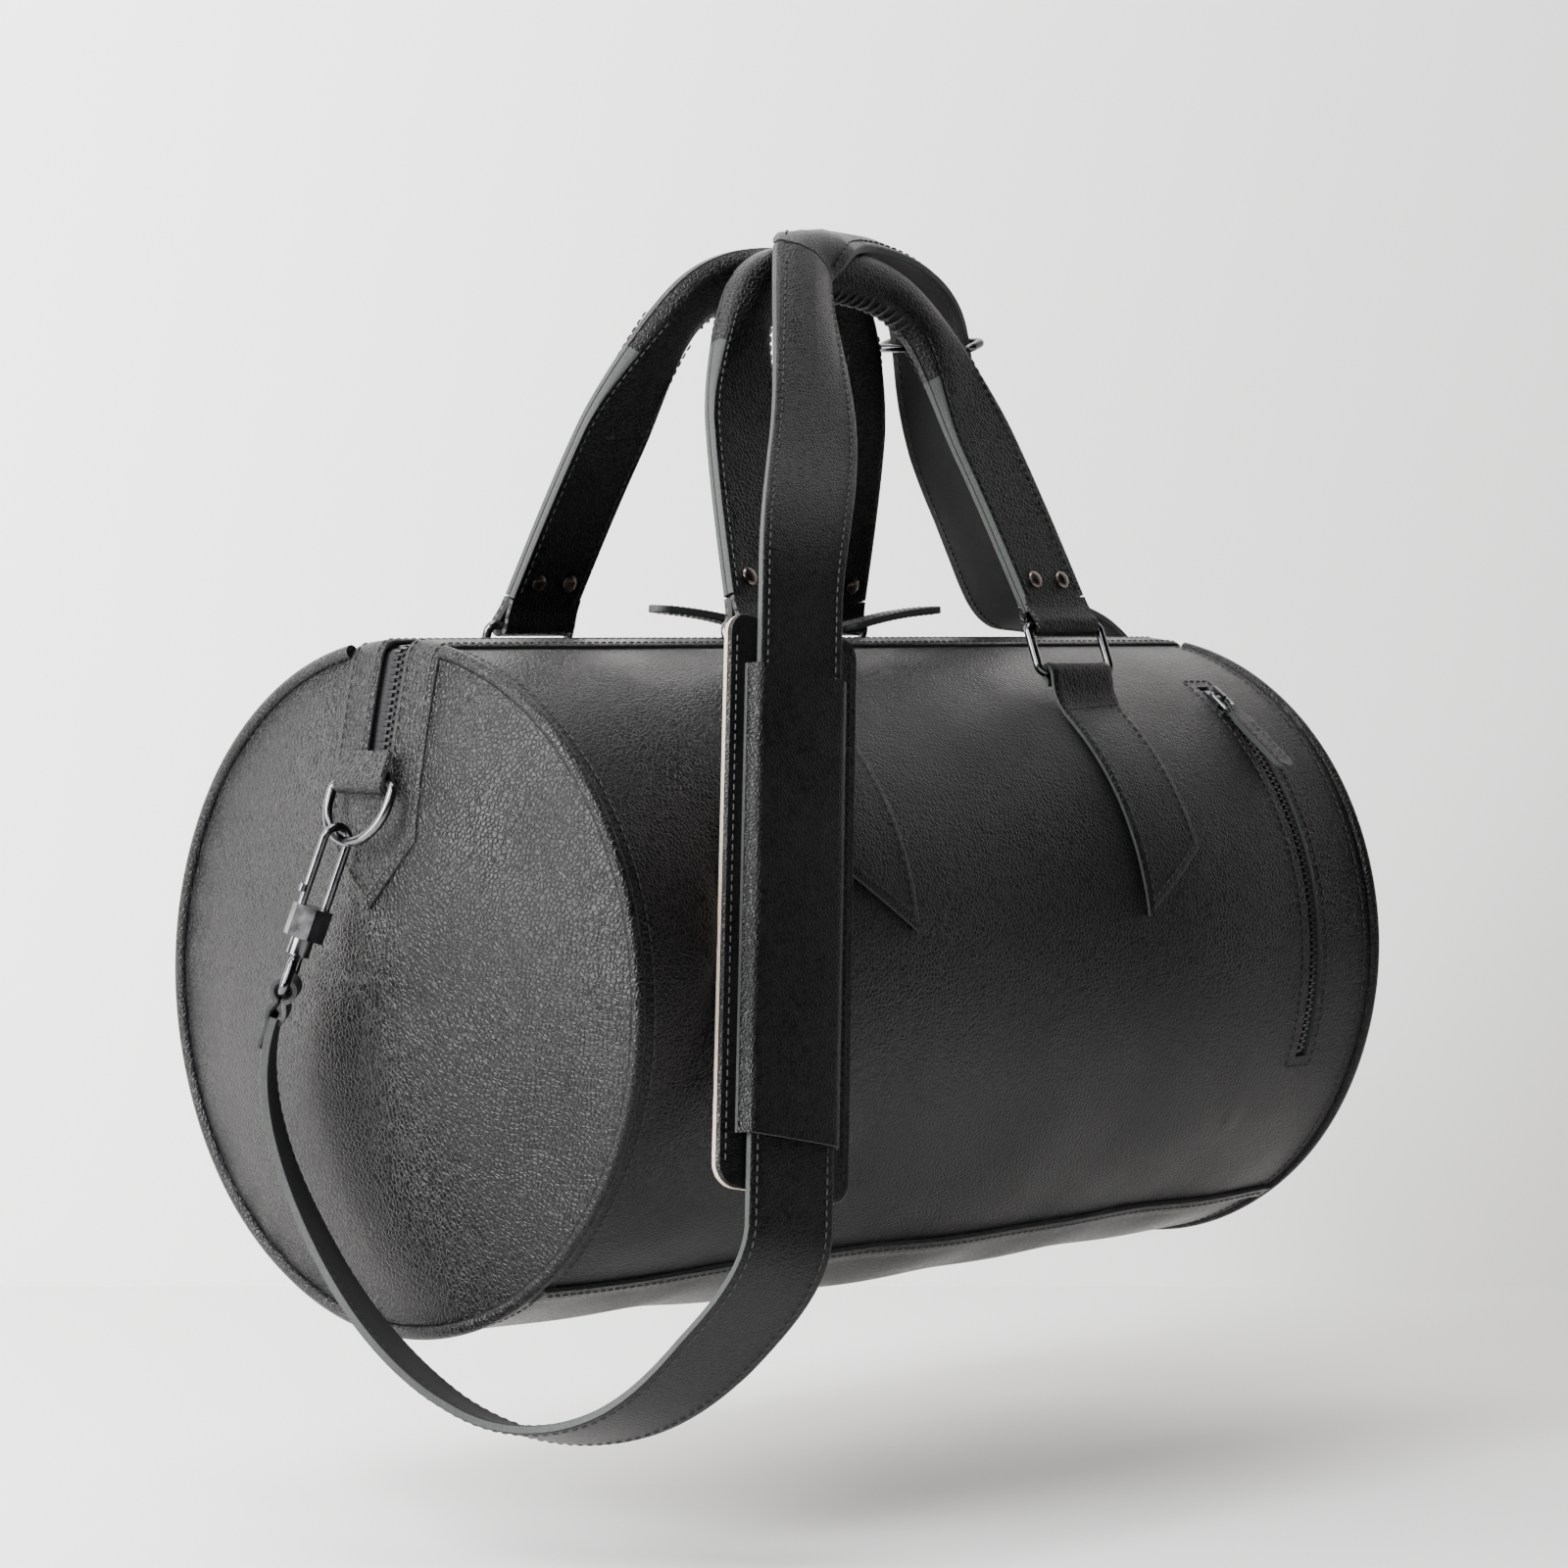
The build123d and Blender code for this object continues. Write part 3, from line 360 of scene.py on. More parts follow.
class Nodes:
    """A material's node tree with one small call that adds a node."""

    def __init__(self, name: str) -> None:
        self.material = bpy.data.materials.new(name)
        self.material.use_nodes = True
        self.tree = self.material.node_tree
        self.shader = self.tree.nodes["Principled BSDF"]

    def add(self, kind: str, settings: dict | None = None, **inputs: object) -> bpy.types.Node:
        """Add a node, set its properties and feed its inputs.

        Args:
            kind: node class without the ShaderNode prefix.
            settings: properties of the node.
            inputs: value or socket for each input, spaces written as _.

        Returns:
            The node.
        """
        node = self.tree.nodes.new("ShaderNode" + kind)
        for key, value in (settings or {}).items():
            setattr(node, key, value)
        for key, value in inputs.items():
            name = key.replace("_", " ")
            socket = node.inputs[int(key[2:])] if key.startswith("in") and key[2:].isdigit() else node.inputs[name]
            self.feed(socket, value)
        return node

    def feed(self, socket: bpy.types.NodeSocket, value: object) -> None:
        """Link a socket, or set its value."""
        if isinstance(value, bpy.types.NodeSocket):
            self.tree.links.new(value, socket)
        else:
            socket.default_value = value

    def ramp(self, fac: object, low: float, high: float, a: tuple, b: tuple) -> bpy.types.NodeSocket:
        """Two colours blended between two levels of a value."""
        node = self.add("ValToRGB", Fac=fac)
        node.color_ramp.elements[0].position = low
        node.color_ramp.elements[1].position = high
        node.color_ramp.elements[0].color = a
        node.color_ramp.elements[1].color = b
        return node.outputs["Color"]

    def noise(self, scale_mm: float, detail: float = 3.0, vector: object = None) -> bpy.types.NodeSocket:
        """Noise whose features are about scale_mm across."""
        vector = vector or self.object_coordinates()
        node = self.add("TexNoise", Vector=vector, Scale=1.0 / (scale_mm * MM), Detail=detail)
        return node.outputs["Fac"]

    def object_coordinates(self) -> bpy.types.NodeSocket:
        """The piece's own coordinates, in metres."""
        return self.add("TexCoord").outputs["Object"]

    def bump(self, height: object, distance_mm: float, normal: object = None) -> bpy.types.NodeSocket:
        """Bump of a given real depth."""
        node = self.add("Bump", Height=height, Distance=distance_mm * MM, Strength=1.0)
        if normal is not None:
            self.feed(node.inputs["Normal"], normal)
        return node.outputs["Normal"]


@dataclass(frozen=True)
class LeatherFinish:
    """Drum dyed full grain cowhide: a pebbled grain under a thin wax finish."""

    name: str
    shade: str
    light: str
    rough: float
    pebble_mm: float
    pebble_depth: float
    crease_depth: float
    wax: float = 0.24
    sheen: float = 0.0

    def make(self) -> bpy.types.Material:
        """Build the material.

        Returns:
            The material.
        """
        n = Nodes(self.name)
        place = n.object_coordinates()
        warp = n.add("TexNoise", Vector=place, Scale=1 / (9 * MM), Detail=2.0)
        nudged = n.add("VectorMath", {"operation": "MULTIPLY_ADD"}, in0=warp.outputs["Color"],
                       in1=(1.2 * MM, 1.2 * MM, 1.2 * MM), in2=place).outputs[0]
        cells = n.add("TexVoronoi", {"feature": "DISTANCE_TO_EDGE"}, Vector=nudged, Scale=1 / (self.pebble_mm * MM))
        pebble = n.add("MapRange", Value=cells.outputs["Distance"], in1=0.0, in2=0.22).outputs[0]
        fine = n.noise(0.7, 3.0, place)
        slow = n.noise(60.0, 3.0, place)
        crease = n.add("TexNoise", {"noise_type": "RIDGED_MULTIFRACTAL"}, Vector=nudged, Scale=1 / (34 * MM), Detail=3.0)
        folds = n.add("MapRange", Value=crease.outputs["Fac"], in1=0.55, in2=1.25).outputs[0]
        tint = n.ramp(slow, 0.35, 0.68, linear(self.shade), linear(self.light))
        # Crevices between the pebbles take the darker shade colour: painted shade in the grain.
        crevice_shaded_grain = n.add("MixRGB", in0=pebble, in1=linear(self.shade), in2=tint).outputs[0]
        n.feed(n.shader.inputs["Base Color"], crevice_shaded_grain)
        rough = n.add("MapRange", Value=slow, in1=0.3, in2=0.7, in3=self.rough - 0.07, in4=self.rough + 0.08).outputs[0]
        n.feed(n.shader.inputs["Roughness"], rough)
        n.feed(n.shader.inputs["Specular IOR Level"], self.wax)
        n.feed(n.shader.inputs["Sheen Weight"], self.sheen)
        n.feed(n.shader.inputs["Sheen Roughness"], 0.6)
        first = n.bump(folds, self.crease_depth)
        second = n.bump(pebble, self.pebble_depth, first)
        n.feed(n.shader.inputs["Normal"], n.bump(fine, self.pebble_depth * 0.35, second))
        return n.material


@dataclass(frozen=True)
class FibreFinish:
    """Cut leather, felt-like flesh side, board or thread: matte and fibrous."""

    name: str
    shade: str
    light: str
    rough: float
    grain_mm: float
    depth: float
    stretch: tuple[float, float, float] = (1.0, 1.0, 1.0)

    def make(self) -> bpy.types.Material:
        """Build the material.

        Returns:
            The material.
        """
        n = Nodes(self.name)
        place = n.add("Mapping", Vector=n.object_coordinates(), Scale=self.stretch).outputs[0]
        fibre = n.noise(self.grain_mm, 5.0, place)
        n.feed(n.shader.inputs["Base Color"], n.ramp(fibre, 0.36, 0.66, linear(self.shade), linear(self.light)))
        n.feed(n.shader.inputs["Roughness"], self.rough)
        n.feed(n.shader.inputs["Normal"], n.bump(fibre, self.depth))
        return n.material


@dataclass(frozen=True)
class WeaveFinish:
    """Woven cloth: two crossed waves of real thread pitch."""

    name: str
    shade: str
    light: str
    pitch_mm: float

    def make(self) -> bpy.types.Material:
        """Build the material.

        Returns:
            The material.
        """
        n = Nodes(self.name)
        place = n.object_coordinates()
        scale = 1.0 / (self.pitch_mm * MM) / 6.283
        warp = n.add("TexWave", {"bands_direction": "X"}, Vector=place, Scale=scale * 3.14, Distortion=0.4)
        weft = n.add("TexWave", {"bands_direction": "DIAGONAL"}, Vector=place, Scale=scale * 3.14, Distortion=0.4)
        cross = n.add("Math", {"operation": "MAXIMUM"}, in0=warp.outputs["Fac"], in1=weft.outputs["Fac"]).outputs[0]
        n.feed(n.shader.inputs["Base Color"], n.ramp(cross, 0.2, 0.9, linear(self.shade), linear(self.light)))
        n.feed(n.shader.inputs["Roughness"], 0.86)
        n.feed(n.shader.inputs["Normal"], n.bump(cross, 0.12))
        return n.material


@dataclass(frozen=True)
class MetalFinish:
    """Die cast zinc or steel wire with a tumbled black nickel plating."""

    name: str
    shade: str
    light: str
    rough: float

    def make(self) -> bpy.types.Material:
        """Build the material.

        Returns:
            The material.
        """
        n = Nodes(self.name)
        smudge = n.noise(7.0, 4.0)
        n.feed(n.shader.inputs["Base Color"], n.ramp(smudge, 0.3, 0.7, linear(self.shade), linear(self.light)))
        n.feed(n.shader.inputs["Metallic"], 1.0)
        rough = n.add("MapRange", Value=smudge, in1=0.3, in2=0.7, in3=self.rough * 0.75, in4=self.rough * 1.35)
        n.feed(n.shader.inputs["Roughness"], rough.outputs[0])
        n.feed(n.shader.inputs["Normal"], n.bump(n.noise(0.8, 2.0), 0.012))
        return n.material


@dataclass(frozen=True)
class PlainFinish:
    """Moulded nylon or painted stage surface, nearly uniform."""

    name: str
    shade: str
    rough: float
    grain_mm: float = 0.4
    depth: float = 0.01

    def make(self) -> bpy.types.Material:
        """Build the material.

        Returns:
            The material.
        """
        n = Nodes(self.name)
        n.feed(n.shader.inputs["Base Color"], linear(self.shade))
        n.feed(n.shader.inputs["Roughness"], self.rough)
        n.feed(n.shader.inputs["Normal"], n.bump(n.noise(self.grain_mm), self.depth))
        return n.material


class Palette:
    """Every finish in the bag, made once."""

    def __init__(self) -> None:
        # Pebbled cowhide of the panels, patches, handles and pulls.
        self.leather = LeatherFinish("pebbled_cowhide", "040405", "0b0a0d", 0.38, 2.0, 0.20, 1.7).make()
        # Thicker strap butt, plated smoother and waxed.
        self.strap = LeatherFinish("strap_butt", "060607", "100f12", 0.36, 1.5, 0.14, 0.5).make()
        # Cut edge of dyed leather, sealed with a grey green edge paint.
        self.edge = FibreFinish("sealed_edge", "1d201f", "373b39", 0.7, 0.6, 0.08).make()
        # Flesh side, dyed through and left unsealed.
        self.flesh = FibreFinish("flesh_side", "0c0c0c", "181717", 0.9, 0.9, 0.12).make()
        # Natural core that shows at the pad's undyed cut edge.
        self.core = FibreFinish("natural_core", "a3917f", "c2b2a2", 0.88, 0.5, 0.06, (1.0, 1.0, 0.25)).make()
        # Bonded nylon thread, waxed black.
        self.thread = FibreFinish("waxed_thread", "040405", "0b0b0d", 0.62, 0.35, 0.05).make()
        # Black nickel on zinc castings and welded wire.
        self.nickel = MetalFinish("black_nickel", "4b4b4e", "6c6b6d", 0.2).make()
        # Double cap rivets, the same plating worn warmer.
        self.rivet = MetalFinish("rivet_nickel", "5a5350", "7a706a", 0.24).make()
        # Coil zip: nylon teeth on a woven polyester tape.
        self.teeth = PlainFinish("nylon_teeth", "131315", 0.33).make()
        self.tape = WeaveFinish("zip_tape", "0b0b0c", "17171a", 0.6).make()
        self.cloth = WeaveFinish("lining_cloth", "202023", "323236", 0.8).make()
        self.board = PlainFinish("board", "1b1b1c", 0.6, 1.5, 0.03).make()

    def hide(self) -> list[bpy.types.Material]:
        """Materials of a cut leather piece, in the order of Face."""
        return [self.leather, self.edge, self.flesh]

    def hide_strap(self) -> list[bpy.types.Material]:
        """Materials of a cut strap piece, in the order of Face."""
        return [self.strap, self.edge, self.flesh]


# ---- solids --------------------------------------------------------------------
@dataclass
class Solid:
    """Closed mesh under construction, in bag millimetres."""

    points: Array
    faces: list[NDArray[np.int64]]
    kinds: list[NDArray[np.int64]] = field(default_factory=list)

    def joined(self, other: "Solid") -> "Solid":
        """This solid and another as one mesh."""
        shift = len(self.points)
        return Solid(
            np.concatenate([self.points, other.points]),
            self.faces + [f + shift for f in other.faces],
            self._kinds() + other._kinds(),
        )

    def _kinds(self) -> list[NDArray[np.int64]]:
        if self.kinds:
            return self.kinds
        return [np.zeros(len(f), int) for f in self.faces]

    def outward(self) -> "Solid":
        """The same solid with its faces turned outwards, by signed volume."""
        volume = 0.0
        for f in self.faces:
            p = self.points[f] - self.points[0]
            for k in range(1, f.shape[1] - 1):
                volume += np.einsum("ij,ij->", p[:, 0], np.cross(p[:, k], p[:, k + 1]))
        if volume < 0:
            self.faces = [f[:, ::-1] for f in self.faces]
        return self

    def build(self, name: str, materials: list[bpy.types.Material], smooth: float = 40.0) -> bpy.types.Object:
        """Make the Blender object, in metres in the row's frame.

        Args:
            name: object name.
            materials: material of each kind of face.
            smooth: edges sharper than this many degrees stay crisp.

        Returns:
            The object, linked to the scene.
        """
        co = (self.points + np.array([0.0, 0.0, DATUM.axis_z])) * MM
        sizes = np.concatenate([np.full(len(f), f.shape[1]) for f in self.faces])
        loops = np.concatenate([f.ravel() for f in self.faces])
        mesh = bpy.data.meshes.new(name)
        mesh.vertices.add(len(co))
        mesh.vertices.foreach_set("co", co.ravel())
        mesh.loops.add(len(loops))
        mesh.loops.foreach_set("vertex_index", loops)
        mesh.polygons.add(len(sizes))
        mesh.polygons.foreach_set("loop_start", np.concatenate([[0], np.cumsum(sizes)[:-1]]))
        mesh.polygons.foreach_set("loop_total", sizes)
        for material in materials:
            mesh.materials.append(material)
        mesh.polygons.foreach_set("material_index", np.minimum(np.concatenate(self._kinds()), len(materials) - 1))
        mesh.update(calc_edges=True)
        mesh.validate()
        mesh.shade_smooth()
        mesh.set_sharp_from_angle(angle=np.radians(smooth))
        obj = bpy.data.objects.new(name, mesh)
        bpy.context.scene.collection.objects.link(obj)
        return obj


def slab(top: Array, bottom: Array, keep: NDArray[np.bool_] | None = None, wrap: bool = False) -> Solid:
    """Closed sheet between two grids of points, with walls round every hole.

    Args:
        top: grid of points on the grain side, rows by columns.
        bottom: grid of points on the flesh side.
        keep: cells that exist, all of them if None.
        wrap: True joins the last column to the first.

    Returns:
        The solid, its face kinds numbered as in Face.
    """
    rows, cols = top.shape[:2]
    index = np.arange(rows * cols).reshape(rows, cols)
    right = np.roll(index, -1, axis=1) if wrap else index[:, 1:]
    left = index if wrap else index[:, :-1]
    quads = np.stack([left[:-1], left[1:], right[1:], right[:-1]], axis=-1).reshape(-1, 4)
    if keep is not None:
        quads = quads[keep.ravel()]
    total = rows * cols
    edges = np.stack([quads, np.roll(quads, -1, axis=1)], axis=-1).reshape(-1, 2)
    code = edges[:, 0] * total + edges[:, 1]
    back = edges[:, 1] * total + edges[:, 0]
    rim = edges[~np.isin(code, back)]
    walls = np.stack([rim[:, 1], rim[:, 0], rim[:, 0] + total, rim[:, 1] + total], axis=1)
    points = np.concatenate([top.reshape(-1, 3), bottom.reshape(-1, 3)])
    faces = np.concatenate([quads, walls, quads[:, ::-1] + total])
    kinds = np.repeat([Face.GRAIN.value, Face.EDGE.value, Face.FLESH.value], [len(quads), len(walls), len(quads)])
    used, where = np.unique(faces, return_inverse=True)
    return Solid(points[used], [where.reshape(faces.shape)], [kinds]).outward()


def swept(path: Array, across: Array, section: Array, closed: bool = False, kinds: Array | None = None) -> Solid:
    """A closed outline carried along a path.

    Args:
        path: stations.
        across: unit vector at each station for the section's first axis.
        section: outline points, either shared or one outline per station.
        closed: True joins the last station to the first.
        kinds: face kind of each side of the outline.

    Returns:
        The solid, capped by fans at the ends if it is open.
    """
    n = len(path)
    if section.ndim == 2:
        section = np.broadcast_to(section, (n, *section.shape))
    along = tangents(path, closed)
    across = square_to(across, along)
    out = np.cross(along, across)
    grid = path[:, None] + across[:, None] * section[..., 0:1] + out[:, None] * section[..., 1:2]
    k = section.shape[1]
    index = np.arange(n * k).reshape(n, k)
    nxt = np.roll(index, -1, axis=0) if closed else index[1:]
    cur = index if closed else index[:-1]
    quads = np.stack([cur, nxt, np.roll(nxt, -1, axis=1), np.roll(cur, -1, axis=1)], axis=-1).reshape(-1, 4)
    side = np.zeros(k, int) if kinds is None else np.asarray(kinds)
    marks = np.tile(side, len(cur))
    points = grid.reshape(-1, 3)
    if closed:
        return Solid(points, [quads], [marks]).outward()
    points = np.concatenate([points, path[[0, -1]]])
    ring = np.arange(k)
    start = np.stack([np.full(k, n * k), ring, np.roll(ring, -1)], axis=1)
    last = index[-1]
    end = np.stack([np.full(k, n * k + 1), np.roll(last, -1), last], axis=1)
    cap = np.full(2 * k, Face.EDGE.value if kinds is not None else 0)
    return Solid(points, [quads, np.concatenate([start, end])], [marks, cap]).outward()


def circle(radius: float, count: int) -> Array:
    """Points round a circle."""
    a = np.linspace(0, 2 * np.pi, count, endpoint=False)
    return radius * np.stack([np.cos(a), np.sin(a)], axis=1)


def tube(path: Array, radius: float, sides: int = 10, closed: bool = False) -> Solid:
    """Round cord or wire along a path, its section carried without twist."""
    along = tangents(path, closed)
    frames = np.zeros_like(path)
    seed = np.array([0.31, 0.52, 0.79])
    frames[0] = square_to(seed, along[0])
    for k in range(1, len(path)):
        frames[k] = square_to(frames[k - 1], along[k])
    return swept(path, frames, circle(radius, sides), closed)


def strap_section(width: Array, thick: Array, corner: float = 0.9) -> tuple[Array, NDArray[np.int64]]:
    """Flat strap outline with eased corners, one per station.

    Args:
        width: width at each station.
        thick: thickness at each station.
        corner: length of the eased corner.

    Returns:
        Outlines (stations, points, 2) and the kind of each side.
    """
    w = np.asarray(width, float)[:, None] / 2
    t = np.asarray(thick, float)[:, None] / 2
    c = corner
    x = np.concatenate([w, w, w - c * 0.3, w - c, 0.5 * w, 0 * w, -0.5 * w, -w + c, -w + c * 0.3, -w, -w,
                        -w + c * 0.3, -w + c, -0.5 * w, 0 * w, 0.5 * w, w - c, w - c * 0.3], axis=1)
    e = c * 0.45
    y = np.concatenate([-t + e, t - e, t - e * 0.3, t, t, t, t, t, t - e * 0.3, t - e, -t + e,
                        -t + e * 0.3, -t, -t, -t, -t, -t, -t + e * 0.3], axis=1)
    kinds = np.array([1, 0, 0, 0, 0, 0, 0, 0, 0, 1, 2, 2, 2, 2, 2, 2, 2, 2])
    return np.stack([x, y], axis=-1), kinds


def stitches(path: Array, out: Array, pitch: float = 4.0, length: float = 3.1, width: float = 1.05) -> Solid:
    """Row of thread stitches sunk into a surface.

    Each stitch is a six sided spindle whose ends dip under the leather.

    Args:
        path: polyline on the surface.
        out: surface direction at each point of the path.
        pitch: distance from stitch to stitch.
        length: visible length of a stitch.
        width: thread width.

    Returns:
        All stitches as one solid.
    """
    s = arc_length(path)
    count = max(1, int(s[-1] // pitch))
    at = (np.arange(count) + 0.5) * s[-1] / count
    centre = np.stack([np.interp(at, s, path[:, k]) for k in range(3)], axis=1)
    along = np.stack([np.interp(at, s, tangents(path)[:, k]) for k in range(3)], axis=1)
    normal = np.stack([np.interp(at, s, out[:, k]) for k in range(3)], axis=1)
    along = unit(along)
    normal = square_to(normal, along)
    across = np.cross(along, normal)
    u = np.array([-0.5, -0.38, 0.0, 0.38, 0.5]) * length
    size = np.array([0.35, 0.85, 1.0, 0.85, 0.35]) * width / 2
    dip = np.array([-0.55, 0.0, 0.12, 0.0, -0.55]) * width
    ring = circle(1.0, 6)
    grid = np.zeros((len(u), 6, 3))
    grid[..., 0] = u[:, None]
    grid[..., 1] = ring[None, :, 0] * size[:, None]
    grid[..., 2] = ring[None, :, 1] * size[:, None] * 0.8 + dip[:, None]
    local = grid.reshape(-1, 3)
    index = np.arange(30).reshape(5, 6)
    quads = np.stack([index[:-1], index[1:], np.roll(index[1:], -1, 1), np.roll(index[:-1], -1, 1)], -1).reshape(-1, 4)
    caps = np.stack([index[0][::-1], index[-1]])
    basis = np.stack([along, across, normal], axis=1)
    points = centre[:, None] + np.einsum("pk,skj->spj", local, basis)
    shift = (np.arange(count) * 30)[:, None, None]
    return Solid(points.reshape(-1, 3), [(quads + shift).reshape(-1, 4), (caps + shift).reshape(-1, 6)]).outward()


def merged(solids: list[Solid]) -> Solid:
    """Several solids as one mesh."""
    whole = solids[0]
    for other in solids[1:]:
        whole = whole.joined(other)
    return whole


def rolled(depth: Array, thick: float, ease_mm: float = 0.9) -> Array:
    """Height of a cut leather piece near its edge: the grain rolls down.

    Args:
        depth: distance in from the nearest edge.
        thick: full thickness.
        ease_mm: width of the rolled strip.

    Returns:
        Height of the grain surface.
    """
    return thick * (0.62 + 0.38 * np.sqrt(np.clip(depth / ease_mm, 0, 1)))


# ---- sub-assemblies -----------------------------------------------------------
@dataclass
class SubAssembly:
    """A group of pieces that share a palette."""

    palette: Palette
    made: list[bpy.types.Object] = field(default_factory=list)

    def place(
        self,
        solid: Solid,
        name: str,
        materials: list[bpy.types.Material],
        body: str | None = "bag",
        stands_for: tuple[str, ...] = (),
        slot: str = "black_leather",
        smooth: float = 40.0,
    ) -> bpy.types.Object:
        """Build a piece and tie it to its body.

        Args:
            solid: the piece.
            name: object name.
            materials: material of each kind of face.
            body: body it rides on, or None if it is blended later.
            stands_for: CAD nodes it replaces.
            slot: the record's material slot; not used.
            smooth: sharp edge angle in degrees.

        Returns:
            The object.
        """
        obj = solid.build(name, materials, smooth)
        if body is not None:
            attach(obj, body)
        if stands_for:
            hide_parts(*stands_for)
        self.made.append(obj)
        return obj

    def dress(self, nodes: tuple[str, ...], material: bpy.types.Material) -> None:
        """Give CAD nodes a finish in every slot.

        Args:
            nodes: node names.
            material: the finish.
        """
        for name in nodes:
            mesh = frame["nodes"][name].data
            if not mesh.materials:
                mesh.materials.append(material)
            for k in range(len(mesh.materials)):
                mesh.materials[k] = material


LEATHER = 2.0
PANEL_END = HALF - 3.3
BASE_ANGLE = 147.0
POCKET_X = 188.0
POCKET_HALF = 4.0
POCKET_ARC = (32.0, 110.0)


@dataclass
class Shell(SubAssembly):
    """Front, rear and base panels, domed ends, piping and lining."""

    def build(self) -> None:
        """Make every piece of the shell."""
        self.panels()
        for side in Side:
            self.end(side)
        self.lining()

    def panels(self) -> None:
        """Three wall panels and the stitching of their seams."""
        slot_angle = 3.75
        x = spaced(-PANEL_END, POCKET_X - POCKET_HALF, POCKET_X + POCKET_HALF, PANEL_END, step=3.6)
        a = spaced(slot_angle, *POCKET_ARC, BASE_ANGLE - 0.1, step=1.4)
        xm, am = (x[1:] + x[:-1]) / 2, (a[1:] + a[:-1]) / 2
        inside = (am[:, None] > POCKET_ARC[0]) & (am[:, None] < POCKET_ARC[1]) & (np.abs(xm - POCKET_X) < POCKET_HALF)
        front = slab(FORM.wall(x, a[:, None]), FORM.wall(x, a[:, None], -LEATHER), ~inside)
        self.place(front, "front_panel_skin", self.palette.hide(), stands_for=("front_panel",))
        a = spaced(slot_angle, BASE_ANGLE - 0.1, step=1.4)
        rear = slab(FORM.wall(x, -a[:, None]), FORM.wall(x, -a[:, None], -LEATHER))
        self.place(rear, "rear_panel_skin", self.palette.hide(), stands_for=("rear_panel",))
        lap = 2.6
        a = spaced(BASE_ANGLE - lap, BASE_ANGLE + lap, 360 - BASE_ANGLE - lap, 360 - BASE_ANGLE + lap, step=1.1)
        over = 1 - ease((np.abs(a - 180) * -1 + (180 - BASE_ANGLE)) / 3.0)
        top = FORM.wall(x, a[:, None], (over * (LEATHER + 0.1))[:, None])
        low = FORM.wall(x, a[:, None], (over * (LEATHER + 0.1) - LEATHER + 0.15)[:, None])
        self.place(slab(top, low), "base_panel_skin", self.palette.hide(), stands_for=("base_panel",))
        rows = []
        line = np.linspace(-PANEL_END + 3, PANEL_END - 3, 160)
        for sign in (1, -1):
            for step in (-1.15, 0.9):
                angle = sign * (BASE_ANGLE + step)
                height = LEATHER + 0.1 if step < 0 else 1.2
                angle_row = np.full_like(line, angle)
                rows.append(stitches(FORM.wall(line, angle_row, height), FORM.wall_normal(line, angle_row)))
        self.place(merged(rows), "base_seam_thread", [self.palette.thread])

    def end(self, side: Side) -> None:
        """One domed end, its piping and the stitching beside it.

        Args:
            side: the end.
        """
        name = side.name.lower()
        u = np.linspace(-1, 1, 90)
        gx, gy = np.meshgrid(u, u)
        px = gx * np.sqrt(1 - gy**2 / 2)
        py = gy * np.sqrt(1 - gx**2 / 2)
        share = np.hypot(px, py) * 0.982
        angle = np.degrees(np.arctan2(-px, py))
        top = FORM.cap(share, angle, side)
        cx = (px[1:, 1:] + px[:-1, :-1]) / 2 * R
        cy = (py[1:, 1:] + py[:-1, :-1]) / 2 * R
        zip_hole = (np.abs(cx) < 10.5) & (cy > 93)
        disc = slab(top, FORM.cap(share, angle, side, -LEATHER), ~zip_hole)
        self.place(disc, f"end_panel_{name}_skin", self.palette.hide(), stands_for=(f"end_panel_{name}",))
        a = np.linspace(11.6, 348.4, 260)
        swell = FORM.swell(np.full_like(a, side.value * HALF), a)
        rim = np.stack([np.full_like(a, side.value * HALF), *self._ring(a, R - 1.0 + swell * 0.55)], axis=1)
        bead = tube(rim, 3.0, 14)
        self.place(bead, f"piping_{name}_cord", [self.palette.leather], stands_for=(f"piping_{name}",))
        rows = []
        x = np.full_like(a, side.value * (PANEL_END - 4.5))
        rows.append(stitches(FORM.wall(x, a), FORM.wall_normal(x, a)))
        self.place(merged(rows), f"rim_thread_{name}", [self.palette.thread])

    @staticmethod
    def _ring(angle: Array, radius: Array) -> tuple[Array, Array]:
        """Y and Z of points at a radius."""
        return -radius * np.sin(np.radians(angle)), radius * np.cos(np.radians(angle))

    def lining(self) -> None:
        """Cloth lining that follows the leather from inside, and its pocket."""
        x = spaced(-PANEL_END + 6, PANEL_END - 6, step=12.0)
        a = spaced(7.0, 353.0, step=4.0)
        top = FORM.wall(x, a[:, None], -5.2)
        low = FORM.wall(x, a[:, None], -6.2)
        self.place(slab(top, low), "lining_cloth_tube", [self.palette.cloth], stands_for=("lining",), slot="lining_cloth")
        x = spaced(-90, 90, step=6.0)
        a = spaced(-112, -62, step=2.5)
        edge = np.minimum(90 - np.abs(x)[None, :], (25 - np.abs(a + 87)[:, None]) * 2.4)
        drape = 0.5 * np.cos(x[None, :] / 9) * ease((a[:, None] + 112) / 50)
        top = FORM.wall(x, a[:, None], -7.0 - 1.6 * ease(edge / 12) + drape * 0.4)
        low = FORM.wall(x, a[:, None], -8.0 - 1.6 * ease(edge / 12) + drape * 0.4)
        self.place(slab(top, low), "inner_pocket_cloth", [self.palette.cloth], stands_for=("inner_pocket",),
                   slot="lining_cloth")
        self.dress(("base_board",), self.palette.board)


